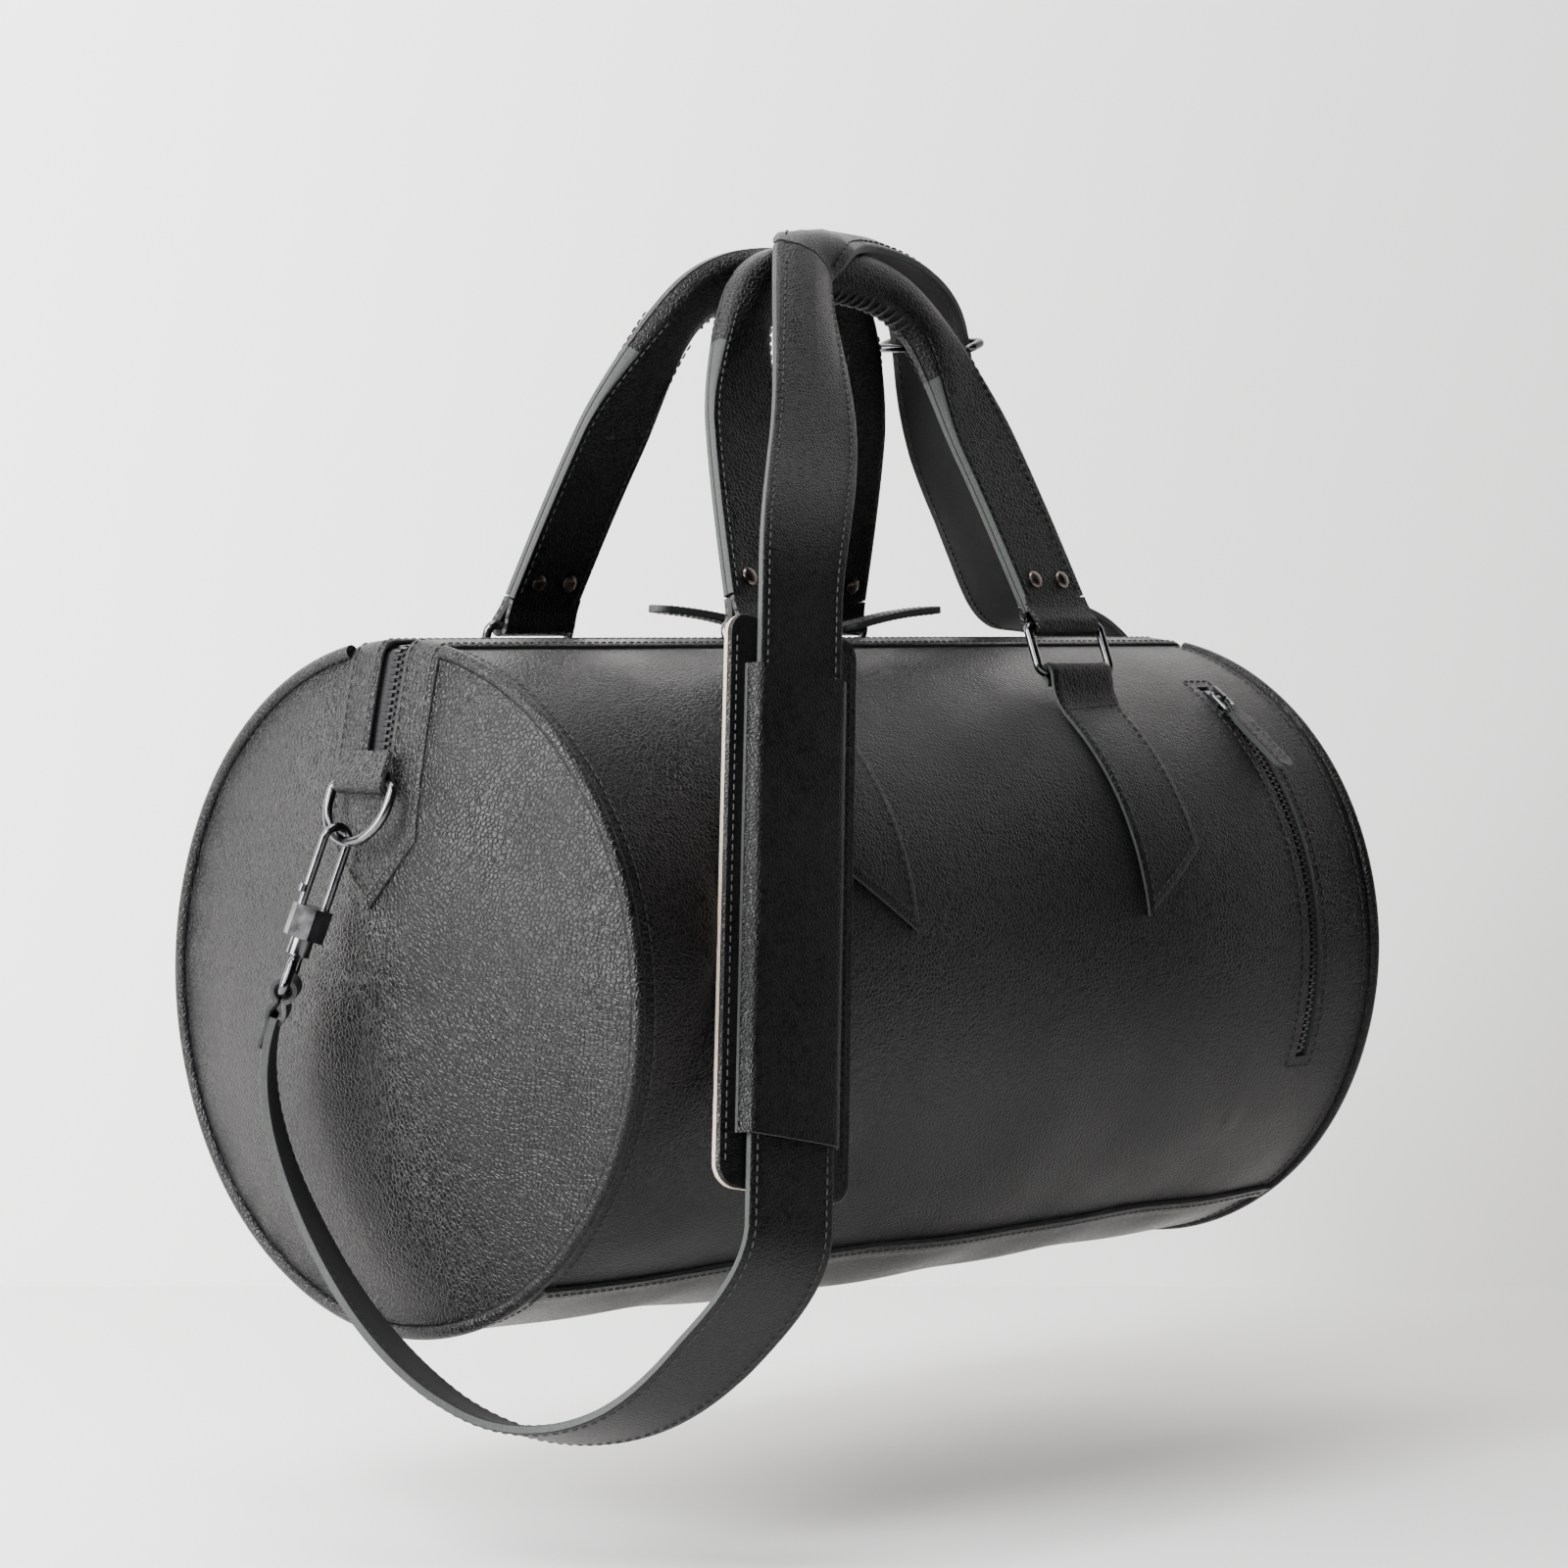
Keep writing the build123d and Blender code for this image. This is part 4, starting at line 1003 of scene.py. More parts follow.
@dataclass
class MainZip(SubAssembly):
    """Leather surround, tapes, teeth, sliders and pulls of the top zip."""

    half_width: float = 26.0
    slot: float = 7.0
    stop_z: float = 90.0
    shoulder_z: float = 60.0
    tip_z: float = 31.0
    thick: float = 1.6

    def surface(self, rows: Array, y: Array) -> tuple[Array, Array]:
        """Points and outward directions of the leather under the zip.

        A row runs 0 to 1 along the wall from mid length, 1 to 2 round the rim,
        2 to 3 down the dome to the zip's stop and 3 to 4 on to the point; its
        sign picks the end.

        Args:
            rows: row values, rising.
            y: column positions.

        Returns:
            Points and unit normals, rows by columns by 3.
        """
        s = np.abs(rows)[:, None]
        y = np.asarray(y, float)[None, :]
        angle = np.degrees(np.arcsin(-y / R))
        x_wall = np.clip(s, 0, 1) * (HALF - 6)
        wall = FORM.wall(np.sign(rows)[:, None] * x_wall, angle)
        z_wall = wall[..., 2]
        end_z = self.tip_z + (self.shoulder_z - self.tip_z) * np.abs(y) / self.half_width
        drop = z_wall - 6
        z_dome = np.where(s < 3, drop + (self.stop_z - drop) * np.clip(s - 2, 0, 1),
                          self.stop_z + (end_z - self.stop_z) * np.clip(s - 3, 0, 1))

        def dome_x(z: Array) -> Array:
            return HALF + (DATUM.tip_x - HALF) * (1 - (y**2 + z**2) / (R - 1.5) ** 2)

        t = np.clip(s - 1, 0, 1)
        corner_x = dome_x(z_wall)
        bend_x = (1 - t) ** 2 * (HALF - 6) + 2 * t * (1 - t) * corner_x + t**2 * dome_x(drop)
        bend_z = (1 - t) ** 2 * z_wall + 2 * t * (1 - t) * z_wall + t**2 * drop
        x = np.where(s <= 1, x_wall, np.where(s <= 2, bend_x, dome_x(z_dome)))
        z = np.where(s <= 1, z_wall, np.where(s <= 2, bend_z, z_dome))
        points = np.stack([np.sign(rows)[:, None] * x, np.broadcast_to(y, x.shape), z], axis=-1)
        grad_r = np.gradient(points, axis=0)
        grad_c = np.gradient(points, y[0], axis=1)
        normal = unit(np.cross(grad_r, grad_c))
        return points, normal * np.sign(normal[..., 2:3] + np.abs(normal[..., 0:1]) * 1e-6 + 1e-9)

    def rows(self, end: float) -> Array:
        """Row values from one end to the other, dense round the rims."""
        half = np.concatenate([np.linspace(0, 1, 58), np.linspace(1, 2, 9)[1:], np.linspace(2, 3, 12)[1:],
                               np.linspace(3, 4, 12)[1:]])
        half = half[half <= end + 1e-9]
        return np.concatenate([-half[:0:-1], half])

    def row_path(self, rows: Array, y: float, lift: float) -> tuple[Array, Array]:
        """Line along the zip at one Y, with its outward directions."""
        points, normal = self.surface(rows, np.array([y - 0.4, y, y + 0.4]))
        return points[:, 1] + normal[:, 1] * lift, normal[:, 1]

    def build(self) -> None:
        """Make the whole zip."""
        rows = self.rows(4.0)
        y = spaced(-self.half_width, -self.half_width + 1, -self.slot - 1, -self.slot, self.slot, self.slot + 1,
                   self.half_width - 1, self.half_width, step=2.2)
        points, normal = self.surface(rows, y)
        mid_row = (np.abs(rows[1:]) + np.abs(rows[:-1])) / 2
        mid_y = (y[1:] + y[:-1]) / 2
        keep = ~((mid_row[:, None] < 3) & (np.abs(mid_y)[None, :] < self.slot))
        inner = np.where((np.abs(rows) <= 3)[:, None], np.abs(y)[None, :] - self.slot, 99.0)
        depth = np.minimum(self.half_width - np.abs(y)[None, :], np.where(inner < 0, 0, inner))
        depth = np.minimum(depth, (4 - np.abs(rows))[:, None] * 40)
        height = LIFT + rolled(depth, self.thick)
        top = points + normal * height[..., None]
        band = slab(top, points + normal * LIFT, keep)
        self.place(band, "zip_surround_leather", self.palette.hide(), stands_for=("zip_surround",))
        seams = []
        grain = LIFT + self.thick
        for sign in (-1, 1):
            seams.append(stitches(*self.row_path(self.rows(3.85), sign * (self.half_width - 3), grain)))
            seams.append(stitches(*self.row_path(self.rows(3.0), sign * (self.slot + 2.5), grain)))
        for sign in (-1, 1):
            cross = np.linspace(-self.half_width + 3, self.half_width - 3, 21)
            p, n = self.surface(sign * np.array([3.86, 3.9, 3.94]), cross)
            order = 1 if sign > 0 else 1
            seams.append(stitches(p[order] + n[order] * grain, n[order]))
            cross = np.linspace(-self.slot - 2, self.slot + 2, 7)
            p, n = self.surface(sign * np.array([3.06, 3.1, 3.14]), cross)
            seams.append(stitches(p[1] + n[1] * grain, n[1]))
        self.place(merged(seams), "zip_surround_thread", [self.palette.thread], slot="thread")
        self.tapes()
        self.teeth()
        self.pulls()
        self.dress(("main_slider_left", "main_slider_right", "main_link_left", "main_link_right"), self.palette.nickel)

    def tapes(self) -> None:
        """Woven tape either side of the teeth."""
        rows = self.rows(3.4)
        for sign, node in ((-1, "zip_tape_front"), (1, "zip_tape_rear")):
            y = sign * np.array([0.3, 2.5, 5, 8, 11, 13.8])
            points, normal = self.surface(rows, y if sign > 0 else y[::-1])
            sheet = slab(points - normal * 2.1, points - normal * 2.9)
            self.place(sheet, f"{node}_cloth", [self.palette.tape], stands_for=(node,), slot="zip_tape")

    def teeth(self) -> None:
        """Nylon teeth, one from each side in turn, a few faces each."""
        path, normal = self.row_path(self.rows(3.0), 0.0, -1.5)
        s = arc_length(path)
        count = int(s[-1] / 1.5)
        at = (np.arange(count) + 0.5) * s[-1] / count
        centre = np.stack([np.interp(at, s, path[:, k]) for k in range(3)], axis=1)
        out = unit(np.stack([np.interp(at, s, normal[:, k]) for k in range(3)], axis=1))
        along = unit(np.stack([np.interp(at, s, tangents(path)[:, k]) for k in range(3)], axis=1))
        across = np.cross(along, out)
        side = np.where(np.arange(count) % 2, 1.0, -1.0)
        corner = np.array([[x, y, z] for x in (-0.55, 0.55) for y in (-0.6, 3.0) for z in (-0.7, 0.7)])
        corner[:, 2] *= np.where(corner[:, 1] > 0, 0.8, 1.0)
        local = corner[None] * np.stack([np.ones(count), side, np.ones(count)], axis=1)[:, None]
        points = centre[:, None] + np.einsum("spk,skj->spj", local, np.stack([along, across, out], axis=1))
        box = np.array([[0, 1, 3, 2], [4, 6, 7, 5], [0, 4, 5, 1], [2, 3, 7, 6], [0, 2, 6, 4], [1, 5, 7, 3]])
        faces = np.where(side[:, None, None] > 0, box[None], box[None, :, ::-1])
        faces = (faces + (np.arange(count) * 8)[:, None, None]).reshape(-1, 4)
        self.place(Solid(points.reshape(-1, 3), [faces]).outward(), "zip_teeth_coil", [self.palette.teeth],
                   stands_for=("zip_teeth",), slot="zip_teeth")

    def pulls(self) -> None:
        """Folded leather pulls, stitched round, on the sliders' links."""
        lift = np.radians(8.0)
        link_x, link_z, link_l = 13.2, 141.3, 11.0
        for side in Side:
            name = side.name.lower()
            run = np.array([side.value * np.cos(lift), 0.0, np.sin(lift)])
            up = np.array([-side.value * np.sin(lift), 0.0, np.cos(lift)])
            start = np.array([side.value * link_x, 0.0, link_z]) + run * link_l
            t = np.concatenate([[-1.9, -1.2], np.linspace(0, 60, 26), np.linspace(61.5, 66, 7)])
            bow = 1.6 * np.sin(np.clip(t, 0, 66) / 66 * np.pi)
            path = start + t[:, None] * run + bow[:, None] * up
            tip = np.sqrt(np.clip(1 - ((t - 60.5) / 5.6) ** 2, 0.05, 1))
            wide = np.where(t < 10, 5.0 + 6.0 * ease((t - 2) / 8), 11.0) * np.where(t > 60.5, tip, 1.0)
            thick = np.where(t < 3, 4.2 - 1.0 * ease((t + 2) / 5), 3.2)
            section, kinds = strap_section(wide, thick, 0.7)
            piece = swept(path, np.broadcast_to([0.0, 1.0, 0.0], path.shape), section, kinds=kinds)
            skins = [self.palette.leather, self.palette.edge, self.palette.leather]
            self.place(piece, f"main_pull_{name}_leather", skins, f"{name}_pull", (f"main_pull_{name}",))
            rows = []
            span = t[(t > 11) & (t < 61)]
            for sign in (-1, 1):
                for face in (-1, 1):
                    line = start + span[:, None] * run + (1.6 * np.sin(span / 66 * np.pi) + face * 1.6)[:, None] * up
                    line = line + np.array([0.0, sign * 3.6, 0.0])
                    rows.append(stitches(line, np.broadcast_to(up * face, line.shape), 3.4, 2.5, 0.7))
            self.place(merged(rows), f"main_pull_{name}_thread", [self.palette.thread], f"{name}_pull", slot="thread")


RING_X = 94.0
RING_ANGLE = 32.0
RING_BAR_R = 147.0
BAR = np.array([-RING_BAR_R * np.sin(np.radians(RING_ANGLE)), RING_BAR_R * np.cos(np.radians(RING_ANGLE))])


@dataclass
class RingPatch(SubAssembly):
    """Leather patch that is folded round a handle ring's lower bar."""

    half_width: float = 20.0
    thick: float = 2.2

    def build(self) -> None:
        """Make the four patches."""
        for flank in Flank:
            for side in Side:
                self.patch(flank, side)

    def profile(self, low_angle: float) -> Array:
        """Middle line of the patch in (Y, Z), from its low end over the bar.

        Args:
            low_angle: degrees round from the top at the low end.

        Returns:
            Points in the front right patch's plane, and 61 rows of them.
        """
        out_r = R + LIFT + self.thick / 2
        a = np.radians(np.linspace(low_angle, RING_ANGLE + 7.5, 40))
        flat = np.stack([-out_r * np.sin(a), out_r * np.cos(a)], axis=1)
        e_r = BAR / RING_BAR_R
        e_t = np.array([-e_r[1], e_r[0]]) * -1.0
        roll = 2.05 + self.thick / 2
        th = np.radians(np.linspace(-48, 205, 26))
        loop = BAR + roll * (np.cos(th)[:, None] * e_r + np.sin(th)[:, None] * e_t)
        tail = BAR + (-3.6) * e_t * 0.9 + (-5.3) * e_r
        bridge = BAR + (-8.6) * e_t + (-4.4) * e_r
        line = spline(np.concatenate([flat[-6:-2:3], [bridge], loop[::5], [tail]]), 44)
        return np.concatenate([flat[:-6], line])

    def patch(self, flank: Flank, side: Side) -> None:
        """One patch and its stitching."""
        x = spaced(-self.half_width, -self.half_width + 1.2, self.half_width - 1.2, self.half_width, step=2.6)
        columns, normals = [], []
        for offset in x:
            foot = 34.5 + offset * 0.675
            low = np.degrees(np.arccos(foot / R))
            line = self.profile(low)
            columns.append(line)
            turn = tangents(line)
            normals.append(np.stack([turn[:, 1], -turn[:, 0]], axis=1) * -1)
        line = np.stack(columns, axis=1)
        normal = np.stack(normals, axis=1)
        rows = line.shape[0]
        swell = FORM.swell(side.value * (RING_X + x), np.degrees(np.arctan2(-line[..., 0], line[..., 1])) *
                           (1 if flank is Flank.FRONT else -1))
        shift = swell * (1 - ease((np.hypot(line[..., 0], line[..., 1]) - R - 1.6) / 1.5))
        radial = unit(line)
        line = line + radial * shift[..., None]
        edge = np.minimum(self.half_width - np.abs(x)[None, :], np.arange(rows)[:, None] * 2.0)
        grain = rolled(edge, self.thick) - self.thick / 2
        grid = []
        for height in (grain, np.full_like(grain, -self.thick / 2)):
            yz = line + normal * height[..., None]
            grid.append(np.stack([np.broadcast_to(side.value * (RING_X + x), yz.shape[:2]),
                                  yz[..., 0] * -flank.value, yz[..., 1]], axis=-1))
        name = f"{flank.name.lower()}_{side.name.lower()}"
        self.place(slab(grid[0], grid[1]), f"patch_{name}_leather", self.palette.hide(), stands_for=(f"patch_{name}",))
        seams = []
        inner = int(np.argmin(np.abs(np.hypot(line[:, 0, 0], line[:, 0, 1]) - R - 1.3) +
                              (np.arange(rows) < rows * 0.45) * 9))
        inner = max(inner, 30)
        for column in (1, len(x) - 2):
            pick = grid[0][2:inner, column] + 0.0
            move = np.array([np.sign(x[column]) * -1.9 * side.value, 0.0, 0.0])
            out = np.zeros_like(pick)
            out[:, 1:] = normal[2:inner, column] * [-flank.value, 1.0]
            seams.append(stitches(pick + move, out))
        low = grid[0][2, 1:-1]
        out = np.zeros_like(low)
        out[:, 1:] = normal[2, 1:-1] * [-flank.value, 1.0]
        seams.append(stitches(low, out))
        high = grid[0][inner, 1:-1]
        out = np.zeros_like(high)
        out[:, 1:] = normal[inner, 1:-1] * [-flank.value, 1.0]
        seams.append(stitches(high, out))
        self.place(merged(seams), f"patch_{name}_thread", [self.palette.thread], slot="thread")
        self.dress((f"ring_{name}",), self.palette.nickel)


@dataclass
class Handle(SubAssembly):
    """Doubled strap, folded and laced at the grip, looped on two rings."""

    ply: float = 3.0
    wide: float = 40.0
    grip_wide: float = 24.0
    grip_thick: float = 16.0
    ring_height: float = 22.0

    def __post_init__(self) -> None:
        rise = np.array([-13.0 - BAR[0], DATUM.grip_z - BAR[1]])
        self.grip_v = float(np.hypot(*rise))
        self.out = np.array([0.0, -rise[1] / self.grip_v, rise[0] / self.grip_v])
        self.up = np.array([0.0, rise[0] / self.grip_v, rise[1] / self.grip_v])
        self.origin = np.array([0.0, *BAR])

    def at(self, u: Array, v: Array, w: Array | float = 0.0) -> Array:
        """Point of the front handle's plane: along X, up it and out of it."""
        u, v, w = np.broadcast_arrays(np.asarray(u, float), np.asarray(v, float), np.asarray(w, float))
        return self.origin + u[..., None] * [1.0, 0.0, 0.0] + v[..., None] * self.up + w[..., None] * self.out

    @staticmethod
    def flip(points: Array, flank: Flank) -> Array:
        """Front handle's points moved to a flank."""
        return points * [1.0, -flank.value, 1.0]

    def build(self) -> None:
        """Make both handles."""
        for flank in Flank:
            self.handle(flank)

    def share(self, t: Array) -> Array:
        """0 on the flat legs, 1 on the folded grip."""
        return ease((0.62 - np.abs(2 * t - 1)) / 0.34)

    def handle(self, flank: Flank) -> None:
        """One handle with its feet, lacing, stitching and rivets."""
        name = flank.name.lower()
        body = f"{name}_handle"
        u = [-91.4, -68, -46, 0, 46, 68, 91.4]
        v = [31.5, 132, self.grip_v - 12, self.grip_v, self.grip_v - 12, 132, 31.5]
        path = spline(self.at(np.array(u, float), np.array(v, float)), 170)
        t = np.linspace(0, 1, len(path))
        share = self.share(t)
        wide = self.wide + (self.grip_wide - self.wide) * share
        thick = 2 * self.ply + (self.grip_thick - 2 * self.ply) * share
        across = unit(np.cross(np.broadcast_to(self.out, path.shape), tangents(path)))
        section, kinds = self.section(wide, thick, share)
        marks = np.where(share[:-1, None] > 0.6, np.where(kinds == 1, 0, kinds)[None], kinds[None])
        body_path = self.flip(path, flank)
        solid = swept(path, across, section, kinds=marks.ravel())
        solid.points = self.flip(solid.points, flank)
        pieces = [solid.outward()]
        for sign in (-1, 1):
            foot = self.foot(sign)
            foot.points = self.flip(foot.points, flank)
            pieces.append(foot.outward())
        skins = [self.palette.leather, self.palette.edge, self.palette.leather]
        self.place(merged(pieces), f"handle_{name}_leather", skins, body, (f"handle_{name}",))
        out = self.out
        seams = []
        legs = (np.flatnonzero((t > 0.0) & (t < 0.335)), np.flatnonzero((t > 0.665) & (t < 1.0)))
        for leg in legs:
            for edge in (-1, 1):
                for face in (-1, 1):
                    line = path[leg] + across[leg] * (edge * (wide[leg] / 2 - 3.4))[:, None]
                    line = line + out * (face * thick[leg] / 2)[:, None]
                    normal = np.broadcast_to(out * face, line.shape)
                    seams.append(stitches(self.flip(line, flank), self.flip(normal, flank)))
        self.place(merged(seams), f"handle_{name}_thread", [self.palette.thread], body, slot="thread")
        self.lacing(flank, path, across, wide, thick, t)
        self.rivets(flank)
        LOG.debug("handle %s has %d stations", name, len(body_path))

    def section(self, wide: Array, thick: Array, share: Array) -> tuple[Array, NDArray[np.int64]]:
        """Two plies with a dark line between them, rounder on the grip."""
        w = wide[:, None] / 2
        t = thick[:, None] / 2
        one = np.ones((1, 1))
        fx = np.array([1, 1, 0.955, 1, 1, 0.97, 0.9, 0.6, 0.3, 0, -0.3, -0.6, -0.9, -0.97,
                       -1, -1, -0.955, -1, -1, -0.97, -0.9, -0.6, -0.3, 0, 0.3, 0.6, 0.9, 0.97])[None]
        fy = np.array([-0.72, -0.09, 0, 0.09, 0.72, 0.96, 1, 1, 1, 1, 1, 1, 1, 0.96,
                       0.72, 0.09, 0, -0.09, -0.72, -0.96, -1, -1, -1, -1, -1, -1, -1, -0.96])[None]
        s = share[:, None]
        round_x = fx * np.sqrt(1 - fy**2 / 2 * 0.9)
        round_y = fy * np.sqrt(1 - fx**2 / 2 * 0.9)
        x = w * (fx * one * (1 - s) + round_x * s * 1.04)
        y = t * (fy * one * (1 - s) + round_y * s * 1.04)
        kinds = np.array([1, 1, 1, 1, 1, 0, 0, 0, 0, 0, 0, 0, 0, 1, 1, 1, 1, 1, 1, 2, 2, 2, 2, 2, 2, 2, 2, 1])
        return np.stack([x, y], axis=-1), kinds

    def foot(self, sign: int) -> Solid:
        """Single ply that runs down, round the ring's upper bar and back up."""
        roll = 2.05 + self.ply / 2
        th = np.radians(np.linspace(-20, 200, 22))
        bend = np.stack([self.ring_height - np.sin(th) * roll, np.cos(th) * roll], axis=1)
        half = self.ply / 2
        top = np.array([[34.0, half], [30.5, half + 0.2]])
        line = np.concatenate([top, bend, top[::-1] * [1, -1]])
        line = spline(line, 60)
        x = spaced(-20.0, -19.0, 19.0, 20.0, step=3.2)
        turn = tangents(line)
        normal = np.stack([-turn[:, 1], turn[:, 0]], axis=1)
        shear = (line[:, 0] - self.ring_height)[:, None] * 0.0 * x[None]
        u = sign * (92.4 - (line[:, 0:1] - self.ring_height) * 0.14) + x[None] + shear
        edge = 20.0 - np.abs(x)[None]
        grain = rolled(edge, self.ply, 0.7) - half
        faces = []
        for height in (grain + 0 * u, -half + 0 * u):
            v = line[:, 0:1] + normal[:, 0:1] * height
            w = line[:, 1:2] + normal[:, 1:2] * height
            faces.append(self.at(u, v, w))
        return slab(faces[0], faces[1])

    def lacing(self, flank: Flank, path: Array, across: Array, wide: Array, thick: Array, t: Array) -> None:
        """Round cord whipped through both edges where the grip is folded."""
        name = flank.name.lower()
        pick = np.flatnonzero((t > 0.345) & (t < 0.655))
        base = path[pick] - across[pick] * (wide[pick] / 2 - 2.4)[:, None]
        length = arc_length(base)[-1]
        turns = int(length / 4.8)
        count = turns * 14
        place = np.linspace(0, len(pick) - 1, count)
        index = np.arange(len(pick))
        centre = np.stack([np.interp(place, index, base[:, k]) for k in range(3)], axis=1)
        side = unit(np.stack([np.interp(place, index, across[pick][:, k]) for k in range(3)], axis=1))
        phase = np.linspace(0, 2 * np.pi * turns, count)
        half = np.interp(place, index, thick[pick]) / 2
        line = centre - side * (np.cos(phase) * 3.4)[:, None] + self.out * (np.sin(phase) * half * 0.62)[:, None]
        cord = tube(self.flip(line, flank), 0.75, 6)
        self.place(cord, f"lacing_{name}_cord", [self.palette.thread], f"{name}_handle", (f"lacing_{name}",),
                   slot="thread")

    def rivets(self, flank: Flank) -> None:
        """Domed double cap rivets, four to a handle."""
        name = flank.name.lower()
        r = np.array([0.0, 1.5, 2.7, 3.5, 3.9, 3.9, 1.6, 1.6])
        h = np.array([1.75, 1.65, 1.3, 0.85, 0.4, 0.0, 0.0, -1.5])
        ring = circle(1.0, 28)
        heads = []
        for side in (-1, 1):
            for step in (-0.5, 0.5):
                for face in (-1, 1):
                    centre = self.at(side * 89.5 + step * 18.0, self.ring_height + 20.0, face * 3.1)
                    grid = (centre + r[1:, None, None] * (ring[None, :, 0:1] * [1.0, 0, 0] + ring[None, :, 1:2] * self.up)
                            + h[1:, None, None] * self.out * face)
                    k = ring.shape[0]
                    points = np.concatenate([grid.reshape(-1, 3), [centre + h[0] * self.out * face,
                                                                    centre + h[-1] * self.out * face]])
                    index = np.arange(7 * k).reshape(7, k)
                    quads = np.stack([index[:-1], index[1:], np.roll(index[1:], -1, 1), np.roll(index[:-1], -1, 1)], -1)
                    tip = np.stack([np.full(k, 7 * k), index[0], np.roll(index[0], -1)], axis=1)
                    end = np.stack([np.full(k, 7 * k + 1), np.roll(index[-1], -1), index[-1]], axis=1)
                    head = Solid(self.flip(points, flank), [quads.reshape(-1, 4), np.concatenate([tip, end])])
                    heads.append(head.outward())
        self.place(merged(heads), f"rivets_{name}_caps", [self.palette.rivet], f"{name}_handle", (f"rivets_{name}",),
                   slot="black_nickel")


@dataclass
class ShoulderStrap(SubAssembly):
    """Two strap strips, adjuster, hooks, D-rings and the sliding pad."""

    wide: float = 40.0
    thick: float = 3.6
    squeeze: float = 8.0
    curl: float = 6.5

    def build(self) -> None:
        """Make the strap and everything on it."""
        self.anchors()
        self.long_strip()
        self.short_strip()
        self.pad()
        self.loops()
        self.dress(
            tuple(f"{stem}_{side.name.lower()}" for side in Side
                  for stem in ("hook_frame", "hook_gate", "hook_eye", "d_ring")),
            self.palette.nickel,
        )

    def anchors(self) -> None:
        """Hook axis, eye bars and the pad's place, as in the CAD."""
        self.hook_axis = unit(np.array([15.0, 14.0, -60.0]))
        lean = np.radians(20.0)
        drop = 6.0 + np.sqrt(18.0**2 - 7.0**2)
        bar_x = HALF + 18.2
        ring = np.array([bar_x + drop * np.sin(lean), 7.0, 82.0 - drop * np.cos(lean)])
        self.hook_top = ring - self.hook_axis * 3.0
        self.eye_right = self.hook_top + self.hook_axis * 66.0
        mirror = np.array([-1.0, 1.0, 1.0])
        self.eye_left = self.eye_right * mirror
        self.down_left = self.hook_axis * mirror
        self.across_right = square_to(np.array([-0.12, 0.99, 0.0]), self.hook_axis)
        self.across_left = square_to(np.array([-0.69, 0.72, 0.0]), self.hook_axis) * mirror
        self.pad_top = np.array([-129.3, -123.6, 135.0])
        self.pad_low = np.array([-178.8, -165.6, -62.0])
        self.pad_dir = unit(self.pad_low - self.pad_top)
        yaw = np.radians(8.0)
        self.pad_across = square_to(np.array([np.cos(yaw), -np.sin(yaw), 0.0]), self.pad_dir)
        self.pad_out = np.cross(self.pad_across, self.pad_dir)
        if self.pad_out[1] > 0:
            self.pad_out = -self.pad_out

    def strip(self, path: Array, across: Array, bunch: Array, end: tuple[Array, Array, Array]) -> Solid:
        """Strap strip with its fold round the hook's eye.

        Args:
            path: middle line.
            across: width direction at each station.
            bunch: 0 where the strap lies flat, 1 where it is gripped: there it
                is narrower and its edges curl down.
            end: centre, width direction and way down of the eye's bar.

        Returns:
            The solid; its grain side faces away from the bag.
        """
        section, kinds = strap_section(self.width(bunch), np.full(len(path), self.thick), 1.1)
        half = self.width(bunch)[:, None] / 2
        section[..., 1] += self.curl * bunch[:, None] * (section[..., 0] / half) ** 2
        body = swept(path, across, section, kinds=np.where(kinds == 1, 1, 2 - kinds))
        return body.joined(self.fold(*end))

    def width(self, bunch: Array) -> Array:
        """Strap width at each station."""
        return self.wide - self.squeeze * bunch

    def seams(self, path: Array, across: Array, bunch: Array) -> Solid:
        """Stitch rows on both faces, three millimetres in from the edges."""
        along = tangents(path)
        side = square_to(across, along)
        out = np.cross(along, side)
        reach = self.width(bunch) / 2 - 3.2
        sink = self.curl * bunch * (2 * reach / self.width(bunch)) ** 2
        rows = []
        for edge in (-1, 1):
            for face in (-1, 1):
                line = path + side * (edge * reach)[:, None] + out * (sink + face * self.thick / 2)[:, None]
                rows.append(stitches(line, out * face, 4.2, 3.1))
        return merged(rows)

    def fold(self, centre: Array, side: Array, down: Array) -> Solid:
        """Strap end turned round the eye's bar and laid back on itself."""
        out = np.cross(down, side)
        roll = 2.2 + self.thick / 2
        th = np.radians(np.linspace(-65, 250, 30))
        ring = np.stack([-np.cos(th - np.pi / 2 + np.pi / 2) * 0 + -roll * np.sin(th), roll * np.cos(th)], axis=1)
        tail_out = np.array([[13.0, self.thick / 2 + 0.1], [8.0, self.thick / 2 + 0.7]])
        line = np.concatenate([tail_out, ring, tail_out[::-1] * [1, -1], [[24.0, -self.thick / 2 - 0.1]]])
        line = spline(line, 70)
        x = spaced(-17.5, -16.6, 16.6, 17.5, step=3.0)
        turn = tangents(line)
        normal = np.stack([-turn[:, 1], turn[:, 0]], axis=1)
        grain = rolled(17.5 - np.abs(x)[None], self.thick * 0.8, 0.7) - self.thick * 0.4
        faces = []
        for height in (grain + 0 * line[:, 0:1], -self.thick * 0.4 + 0 * (line[:, 0:1] + x[None])):
            d = line[:, 0:1] + normal[:, 0:1] * height
            o = line[:, 1:2] + normal[:, 1:2] * height
            faces.append(centre + d[..., None] * down + o[..., None] * out + (x[None, :, None] * side))
        return slab(faces[0], faces[1])

